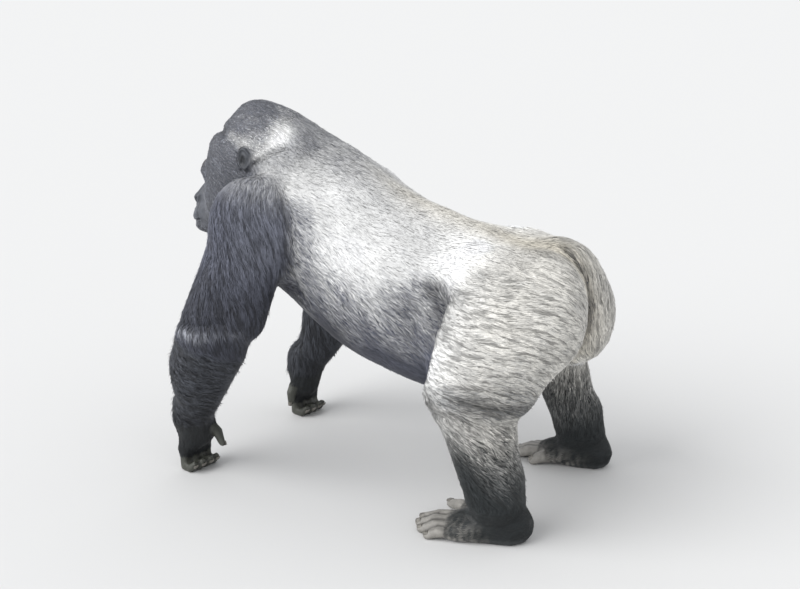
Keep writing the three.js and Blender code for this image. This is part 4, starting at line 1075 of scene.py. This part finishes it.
def scattered(corners, triangles, density, dice):
    """Places strewn evenly over triangles, as many as the density asks for: each one's triangle and mix."""
    a, b, c = (corners[triangles[:, k]] for k in range(3))
    area = np.linalg.norm(np.cross(b - a, c - a), axis=1) / 2
    due = np.cumsum(area * 100 * density[triangles].mean(1))
    steps = np.arange(int(due[-1])) + dice.uniform(0, 1, int(due[-1]))
    chosen = np.searchsorted(due, steps).clip(0, len(triangles) - 1)
    mix = dice.dirichlet([1, 1, 1], len(chosen))
    return chosen, mix


dice = np.random.default_rng(7)
skin_triangles = triangles_of(skin)
chosen, mix = scattered(corners, skin_triangles, growth[:, DENSITY] * covered, dice)
rooted = skin_triangles[chosen]
print("tufts:", len(chosen))


# %% Take from the skin what each tuft needs
def at_roots(values):
    """A number of the skin's corners, mixed for each root."""
    mixed = values[rooted] * (mix if values.ndim == 1 else mix[:, :, None])
    return mixed.sum(1)


roots = at_roots(corners)
root_out = at_roots(facing)
root_out /= np.linalg.norm(root_out, axis=1)[:, None]
root_way = pressed_flat(at_roots(flow), root_out)
root_growth = at_roots(growth)
root_contrast = at_roots(light - dark)
root_colour = at_roots(marking_with_light_and_shade)
root_cover = at_roots(covered)
root_pattern = pattern[rooted[:, 0]]
root_kind = kind[rooted[:, 0]]
root_silver = at_roots(silver)
print("read the skin at", len(roots), "roots")


# %% Gather the tufts in locks
def locks(places, way, breadth, reach, seed, waves=110):
    """Random ridges above 0 and furrows below, this broad and long in millimetres, along the lie."""
    dice = np.random.default_rng(seed)
    total = np.zeros(len(places))
    power = np.full(len(places), 1e-3)
    for _ in range(waves):
        wave = dice.normal(size=3)
        wave *= 2 * math.pi / (breadth * MM * np.linalg.norm(wave) * dice.uniform(0.7, 1.5))
        left = np.exp(-((way @ wave) * reach * MM) ** 2 / 2)  # what is left of it, drawn out along the lie
        total += left * np.sin(places @ wave + dice.uniform(0, 6.28))
        power += left ** 2 / 2
    return total / np.sqrt(power)


BROAD_LOCKS = {"breadth": 13, "reach": 15, "seed": 21}
FINE_LOCKS = {"breadth": 7.5, "reach": 9, "seed": 22}
WAVER = 7 * MM  # how far the locks wander to the side
sideways = np.cross(root_out, root_way)
waver = 0.5 * ripples(roots, 0.06, 11) + 0.4 * ripples(roots, 0.028, 12)
wavy_roots = roots + sideways * (waver * WAVER)[:, None]
finer_on_head = np.where(root_kind == "head", 1.6, 1.0)[:, None]
lock = 0.8 * locks(wavy_roots * finer_on_head, root_way, **BROAD_LOCKS)
lock += 0.55 * locks(wavy_roots * finer_on_head, root_way, **FINE_LOCKS)
furrow = ease(-0.7, 1.4, -lock)
# how strong the painted highlight on the ridges of the locks is, strongest on the arms and hands
ridge_highlight = np.where(np.isin(root_kind, ["forearm", "upper_arm", "hand"]), 1.1, 0.22)
turn = dice.normal(0, 1, len(roots)) * root_growth[:, UNRULY] + waver * root_growth[:, UNRULY] * 2.4
root_way = root_way * np.cos(turn)[:, None] + sideways * np.sin(turn)[:, None]
print("furrows hold", round(float((furrow > 0.5).mean()) * 100), "% of the tufts")

# %% Colour and size the tufts
# Where silver and dark meet, the coat is grizzled: each tuft is clearly lighter or darker than the mean.
calm = np.where(np.isin(root_kind, ["neck", "upper_arm"]), 0.5, 1.0)
grizzle = dice.normal(0, 0.8, len(roots)) * root_silver * (1 - root_silver) * calm
root_colour = np.clip(root_colour + root_contrast * grizzle[:, None], 0.01, LIGHTEST)
flecked = 1 + 0.26 * dice.normal(0, 1, len(roots)) * (root_kind == "head")
root_colour *= np.clip(flecked, 0.5, 1.6)[:, None]
size = dice.uniform(0.75, 1.25, len(roots)) * (0.45 + 0.55 * root_cover)
length = root_growth[:, LENGTH] * MM * size
width = root_growth[:, WIDTH] * MM * dice.uniform(0.8, 1.25, len(roots)) * (0.6 + 0.4 * root_cover)
lift = root_growth[:, LIFT] * MM * dice.uniform(0.45, 1.2, len(roots)) * root_cover * (1 - 0.55 * furrow)
mean_size = [round(float(measure.mean()) * 1000, 1) for measure in (length, width)]
print("tufts are", mean_size[0], "mm long and", mean_size[1], "mm wide")

# %% Bend the tufts round the body
MIDDLE = 0.45  # a tuft is widest at this share of its length
REST = 0.55  # and this share of it is left beyond
STRAY_LIFT = 2.3  # how much higher the tips of stray tufts stand
CLUMP_LIFT = 13 * MM  # how far ragged clumps stand out on the lower arms
tree = skin_tree()


def on_skin(places):
    """The nearest places on the skin, and which way is out there."""
    found = [tree.find_nearest(p)[:2] for p in places.tolist()]
    return np.array([f[0] for f in found]), np.array([f[1] for f in found])


middles, middle_out = on_skin(roots + root_way * (length * MIDDLE)[:, None])
middle_way = pressed_flat(root_way, middle_out)
tips, tip_out = on_skin(middles + middle_way * (length * REST)[:, None])
stray = dice.uniform(0, 1, len(roots)) < root_growth[:, STRAYS]
lift_tip = lift * np.where(stray, STRAY_LIFT, 1.0)
clump = ease(1.0, 1.7, ripples(roots, 0.026, 31)) * np.isin(root_kind, ["forearm", "upper_arm"])
lift_tip += clump * ease(0.74, 0.6, roots[:, 2]) * CLUMP_LIFT * dice.uniform(0.3, 1.0, len(roots))
middle_tops = middles + middle_out * (lift * 0.75)[:, None]
tip_places = tips + tip_out * lift_tip[:, None]
across = np.cross(middle_out, middle_way) * (width / 2)[:, None]
print(int(stray.sum()), "stray tufts stand up;", int((clump > 0).sum()), "are in clumps")

# %% Say how to build one piece of the coat
# The corners of a leaf are its root, left edge, right edge, ridge and tip, numbered from 0.
LEAF = np.array([(0, 1, 3), (0, 3, 2), (0, 2, 1), (4, 3, 1), (4, 2, 3), (4, 1, 2)])
LEAF_PATTERN = np.array([(0.5, 0.0), (0.0, 0.5), (1.0, 0.5), (0.5, 0.5), (0.5, 1.0)]) * 0.003
ALONG = np.array([0.8, 0.97, 0.97, 1.0, 1.05])  # how light a tuft is at each of its five corners: painted shade at the root, painted light at the tip
ROOT_DEPTH = 1.0 * MM
RIDGE_TILT = 0.35  # how far a tuft's edges seem to turn away, as a slope
DULL_TUFTS = 0.10  # the share of tufts that are clearly darker


def leaf_places(mine):
    """The five corners of each tuft."""
    ridge = middle_tops[mine] + middle_out[mine] * (width[mine] * 0.28)[:, None]
    return np.stack([
        roots[mine] - root_out[mine] * ROOT_DEPTH, middle_tops[mine] - across[mine],
        middle_tops[mine] + across[mine], ridge, tip_places[mine],
    ], 1)


def leaf_colours(mine):
    """The colour of each tuft's five corners, with painted light on the ridges of the locks and painted shade
    in the furrows.
    """
    count = int(mine.sum())
    dull = dice.uniform(0, 1, count) < DULL_TUFTS
    shade = np.where(dull, dice.uniform(0.65, 0.85, count), dice.uniform(0.92, 1.08, count))
    # painted highlight on the ridges of the locks, painted shade in the furrows
    relief = ridge_highlight[mine] * ease(-0.2, 1.3, lock[mine]) - furrow[mine]
    shade = shade * (1 + root_growth[mine, FURROW_SHADE] * relief)
    colour = root_colour[mine][:, None, :] * (shade[:, None] * ALONG)[:, :, None]
    return np.clip(colour, 0, 0.97).reshape(-1, 3)


def leaf_facing(mine):
    """Which way each tuft's five corners seem to face, so that a flat leaf is lit like a round lock."""
    tilt = np.array([0, -1, 1, 0, 0])[None, :, None] * RIDGE_TILT
    sideways_here = across[mine] / np.linalg.norm(across[mine], axis=1)[:, None]
    soft = middle_out[mine][:, None] + tilt * sideways_here[:, None]
    soft /= np.linalg.norm(soft, axis=2)[:, :, None]
    return soft.reshape(-1, 3)


def coat_piece(name, mine):
    """One piece of the coat, from the tufts that are marked as its own."""
    places = leaf_places(mine)
    faces = (LEAF[None] + 5 * np.arange(len(places))[:, None, None]).reshape(-1, 3)
    piece = mesh_object(name, places.reshape(-1, 3), faces.ravel(), np.arange(len(faces)) * 3)
    add_numbers(piece, "marking_with_light_and_shade", leaf_colours(mine))
    piece.data.shade_smooth()
    piece.data.normals_split_custom_set_from_vertices(leaf_facing(mine).tolist())
    places_on_pattern = root_pattern[mine][:, None] + LEAF_PATTERN[None]
    add_pattern(piece, np.clip(places_on_pattern[:, LEAF], 0, 1).reshape(-1, 2))
    return piece


# %% Build the coat in pieces
WAIST = 0.12  # the trunk's coat is parted here, along Y
ARM_END = ["forearm", "hand", "digit"]
LEG = ["thigh", "shank", "foot", "toe"]
COAT_PIECES = {  # the kinds of part each piece covers, and which end of the trunk it is on
    "coat_head": (["head", "ear"], None), "coat_neck": (["neck"], None),
    "coat_shoulder_left": (["trunk"], "front"), "coat_shoulder_right": (["trunk"], "front"),
    "coat_rump_left": (["trunk"], "rear"), "coat_rump_right": (["trunk"], "rear"),
    "coat_upper_arm_left": (["upper_arm"], None), "coat_upper_arm_right": (["upper_arm"], None),
    "coat_forearm_left": (ARM_END, None), "coat_forearm_right": (ARM_END, None),
    "coat_leg_left": (LEG, None), "coat_leg_right": (LEG, None),
}

coat = []
for name, (wanted, end) in COAT_PIECES.items():
    mine = np.isin(root_kind, wanted)
    if end:
        mine &= (roots[:, 1] < WAIST) == (end == "front")
    if name.endswith("left"):
        mine &= roots[:, 0] >= 0
    if name.endswith("right"):
        mine &= roots[:, 0] < 0
    coat.append(coat_piece(name, mine))
    print(name, int(mine.sum()), "tufts,", len(coat[-1].data.polygons), "triangles")

# %% [markdown]
# ## Materials for the fur and the hide
# The fur material takes the marking's colour, with its painted light and shade, and adds fine streaks, so no
# two tufts match. The hide adds pores and creases as bumps all over, and is darker where the coat covers it.

# %% Tools for materials
def material_with(name, **settings):
    """A new material, its nodes and its shader, with these sockets of the shader set."""
    made = bpy.data.materials.new(name)
    made.use_nodes = True
    tree = made.node_tree
    shader = tree.nodes["Principled BSDF"]
    for socket, value in settings.items():
        shader.inputs[socket.replace("_", " ")].default_value = value
    return made, tree, shader


def node(tree, kind_of_node, **settings):
    """A new node of a material, with these settings."""
    made = tree.nodes.new(kind_of_node)
    for key, value in settings.items():
        setattr(made, key, value)
    return made


def streaks(tree, scale, low, high, detail=3):
    """A number that wanders between low and high over the piece."""
    place = node(tree, "ShaderNodeTexCoord")
    noise = node(tree, "ShaderNodeTexNoise")
    noise.inputs["Scale"].default_value = scale
    noise.inputs["Detail"].default_value = detail
    tree.links.new(place.outputs["Object"], noise.inputs["Vector"])
    spread_out = node(tree, "ShaderNodeMapRange")
    spread_out.inputs["From Min"].default_value = 0.3
    spread_out.inputs["From Max"].default_value = 0.7
    spread_out.inputs["To Min"].default_value = low
    spread_out.inputs["To Max"].default_value = high
    tree.links.new(noise.outputs["Fac"], spread_out.inputs["Value"])
    return spread_out.outputs["Result"]


def scaled(tree, colour, amount):
    """A colour made lighter or darker by a number."""
    times = node(tree, "ShaderNodeVectorMath", operation="SCALE")
    tree.links.new(colour, times.inputs[0])
    tree.links.new(amount, times.inputs["Scale"])
    return times.outputs["Vector"]


# %% The fur
fur, wiring, shader = material_with(
    "fur", Roughness=0.62, Specular_IOR_Level=0.28, Sheen_Weight=0.12, Sheen_Roughness=0.5)
marks = node(wiring, "ShaderNodeAttribute", attribute_name="marking_with_light_and_shade")
hair = scaled(wiring, marks.outputs["Vector"], streaks(wiring, 420, 0.84, 1.1))
broad_hair = scaled(wiring, hair, streaks(wiring, 18, 0.9, 1.06))
wiring.links.new(broad_hair, shader.inputs["Base Color"])
print("fur has", len(wiring.nodes), "nodes")

# %% The hide
RELIEF_HEIGHT = 0.0012
hide, wiring, shader = material_with("hide", Roughness=0.5, Specular_IOR_Level=0.45)
marks = node(wiring, "ShaderNodeAttribute", attribute_name="marking_with_light_and_shade")
bareness = node(wiring, "ShaderNodeAttribute", attribute_name="bare")
worn = scaled(wiring, marks.outputs["Vector"], streaks(wiring, 60, 0.8, 1.15, 6))
under_fur = node(wiring, "ShaderNodeMapRange")
under_fur.inputs["To Min"].default_value = 0.62
wiring.links.new(bareness.outputs["Fac"], under_fur.inputs["Value"])
wiring.links.new(scaled(wiring, worn, under_fur.outputs["Result"]), shader.inputs["Base Color"])
place = node(wiring, "ShaderNodeTexCoord")
creases = node(wiring, "ShaderNodeTexVoronoi", feature="DISTANCE_TO_EDGE")
creases.inputs["Scale"].default_value = 260
pores = node(wiring, "ShaderNodeTexNoise")
pores.inputs["Scale"].default_value = 420
pores.inputs["Detail"].default_value = 4
for texture in (creases, pores):
    wiring.links.new(place.outputs["Object"], texture.inputs["Vector"])
relief = node(wiring, "ShaderNodeMath", operation="MULTIPLY_ADD")
relief.inputs[1].default_value = 1.6
wiring.links.new(creases.outputs["Distance"], relief.inputs[0])
wiring.links.new(pores.outputs["Fac"], relief.inputs[2])
bump = node(wiring, "ShaderNodeBump")
bump.inputs["Strength"].default_value = 0.5
bump.inputs["Distance"].default_value = RELIEF_HEIGHT
wiring.links.new(relief.outputs["Value"], bump.inputs["Height"])
wiring.links.new(bump.outputs["Normal"], shader.inputs["Normal"])
print("hide has", len(wiring.nodes), "nodes")

# %% Dress the skin and the coat
skin.data.materials.append(hide)
skin.data.shade_smooth()
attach(skin, "root")
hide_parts(*flesh)


for piece in coat:
    piece.data.materials.append(fur)
    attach(piece, "root")
print("dressed", 1 + len(coat), "pieces")

# %% [markdown]
# ## The eyes
# An eyeball is a lathe turning: a ball with a low dome in front for the cornea. A gorilla's iris is warm
# brown and nearly fills the slit, and even the white of its eye is brown at the edge.

# %% Turn the eyeballs
IRIS_ANGLE = 0.56  # in radians from the middle of the pupil
PUPIL_ANGLE = 0.19
CORNEA_RISE = 0.06  # as a share of the ball's radius
RINGS = 36
SPOKES = 48


def ring_round(gaze, across, up, angle):
    """The directions of one ring of the ball, this angle away from the gaze."""
    turns = [2 * math.pi * spoke / SPOKES for spoke in range(SPOKES)]
    outward = [across * math.cos(turn) + up * math.sin(turn) for turn in turns]
    return [gaze * math.cos(angle) + way * math.sin(angle) for way in outward]


def eyeball(name, centre, side):
    """A ball round its gaze with a raised cornea, and how far each corner is from the pupil."""
    across, up, gaze = eye_frame(side)
    angles = np.linspace(0, math.pi, RINGS + 1)
    dome = EYE_RADIUS * (1 + CORNEA_RISE * ease(IRIS_ANGLE * 1.15, 0.0, angles))
    bm = bmesh.new()
    rings = []
    for angle, reach in zip(angles[1:-1], dome[1:-1]):
        ways = ring_round(gaze, across, up, angle)
        rings.append([bm.verts.new(centre + way * reach) for way in ways])
    front = bm.verts.new(centre + gaze * dome[0])
    rear = bm.verts.new(centre - gaze * dome[-1])
    for k in range(SPOKES):
        after = (k + 1) % SPOKES
        bm.faces.new((front, rings[0][k], rings[0][after]))
        bm.faces.new((rear, rings[-1][after], rings[-1][k]))
        for inner, outer in zip(rings[:-1], rings[1:]):
            bm.faces.new((inner[k], outer[k], outer[after], inner[after]))
    bmesh.ops.recalc_face_normals(bm, faces=bm.faces)
    mesh = bpy.data.meshes.new(name)
    bm.to_mesh(mesh)
    bm.free()
    made = linked(name, mesh)
    mesh.shade_smooth()
    places = corners_of(made) - centre
    from_pupil = np.arccos(np.clip(places @ gaze / np.linalg.norm(places, axis=1), -1, 1))
    add_numbers(made, "from_pupil", from_pupil)
    return made


# %% Colour the eyes
EYE_BANDS = [  # how far from the middle of the pupil, and the colour there
    (0.0, (0.003, 0.003, 0.003)), (PUPIL_ANGLE, (0.004, 0.003, 0.003)),
    (PUPIL_ANGLE + 0.03, (0.05, 0.02, 0.008)), (0.42, (0.085, 0.034, 0.013)),
    (IRIS_ANGLE, (0.02, 0.009, 0.005)), (IRIS_ANGLE + 0.06, (0.10, 0.07, 0.055)),
    (0.9, (0.06, 0.04, 0.034)),
]
eye_glass, wiring, shader = material_with("eye_glass", Roughness=0.06, Coat_Weight=1.0, Coat_Roughness=0.03)
from_pupil = node(wiring, "ShaderNodeAttribute", attribute_name="from_pupil")
bands = node(wiring, "ShaderNodeValToRGB")
ramp = bands.color_ramp.elements
while len(ramp) < len(EYE_BANDS):
    ramp.new(0.5)
for stop, (where, colour) in zip(ramp, EYE_BANDS):
    stop.position = where
    stop.color = (*colour, 1)
wiring.links.new(from_pupil.outputs["Fac"], bands.inputs["Fac"])
mottled = scaled(wiring, bands.outputs["Color"], streaks(wiring, 700, 0.8, 1.2))
wiring.links.new(mottled, shader.inputs["Base Color"])
for name, centre in zip(eyes, eye_centres):
    ball = eyeball("ball_of_" + name, centre, 1 if centre[0] > 0 else -1)
    ball.data.materials.append(eye_glass)
    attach(ball, "root")
    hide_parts(name)
print("turned", len(eyes), "eyeballs")

# %% [markdown]
# ## The nails
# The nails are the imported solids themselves. They only need softer edges, which a bevel gives, and a
# dull dark horn with faint ridges.

# %% Finish the nails
DARK_HORN = paint(0.30, 0.295, 0.28)
PALE_HORN = paint(0.50, 0.485, 0.455)
NAIL_EDGE = 0.8 * MM
horn, wiring, shader = material_with("horn", Roughness=0.42)
horn_colour = node(wiring, "ShaderNodeMixRGB", blend_type="MIX")
horn_colour.inputs["Color1"].default_value = (*DARK_HORN, 1)
horn_colour.inputs["Color2"].default_value = (*PALE_HORN, 1)
wiring.links.new(streaks(wiring, 90, 0.0, 1.0, 2), horn_colour.inputs["Fac"])
ridged = scaled(wiring, horn_colour.outputs["Color"], streaks(wiring, 300, 0.7, 1.3, 2))
wiring.links.new(ridged, shader.inputs["Base Color"])
nails = [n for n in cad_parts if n.startswith("nail_")]
for name in nails:
    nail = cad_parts[name]
    nail.data.materials.clear()
    nail.data.materials.append(horn)
    edge = nail.modifiers.new("soft_edges", "BEVEL")
    edge.width = NAIL_EDGE
    edge.segments = 2
print("finished", len(nails), "nails")

# %% [markdown]
# ## Floor and light
# A studio for animals' models is a pale floor without a corner, one broad soft light high on the
# viewer's side, and pale air all round that fills the shadows.

# %% Lay the floor
FLOOR_SIZE = 400
PAPER = (0.67, 0.67, 0.665, 1)
bm = bmesh.new()
bmesh.ops.create_grid(bm, x_segments=8, y_segments=8, size=FLOOR_SIZE / 2)
floor_mesh = bpy.data.meshes.new("floor")
bm.to_mesh(floor_mesh)
bm.free()
floor = linked("floor", floor_mesh)
pale_paper = material_with("pale_paper", Roughness=0.9, Specular_IOR_Level=0.0, Base_Color=PAPER)[0]
floor.data.materials.append(pale_paper)
print("the floor is", FLOOR_SIZE, "m wide")

# %% Light the studio
AIR = (0.97, 0.98, 1.0, 1)
AIR_STRENGTH = 0.92
WINDOW = (2.6, -2.2, 3.2)
WINDOW_BREADTH = math.radians(50)
WINDOW_STRENGTH = 2.3
air = bpy.data.worlds.new("pale_air")
air.use_nodes = True
background = air.node_tree.nodes["Background"]
background.inputs["Color"].default_value = AIR
background.inputs["Strength"].default_value = AIR_STRENGTH
bpy.context.scene.world = air
bpy.context.scene.view_settings.view_transform = "Standard"


def soft_light(name, place, breadth, strength):
    """A far broad lamp that lights the floor evenly, shining from a place towards the body."""
    lamp = bpy.data.lights.new(name, "SUN")
    lamp.angle = breadth
    lamp.energy = strength
    made = linked(name, lamp)
    made.location = place
    made.rotation_euler = (LOOKED_AT - Vector(place)).to_track_quat("-Z", "Y").to_euler()
    return made


high_window = soft_light("high_window", WINDOW, WINDOW_BREADTH, WINDOW_STRENGTH)
print("lit by", high_window.name, "and pale air")
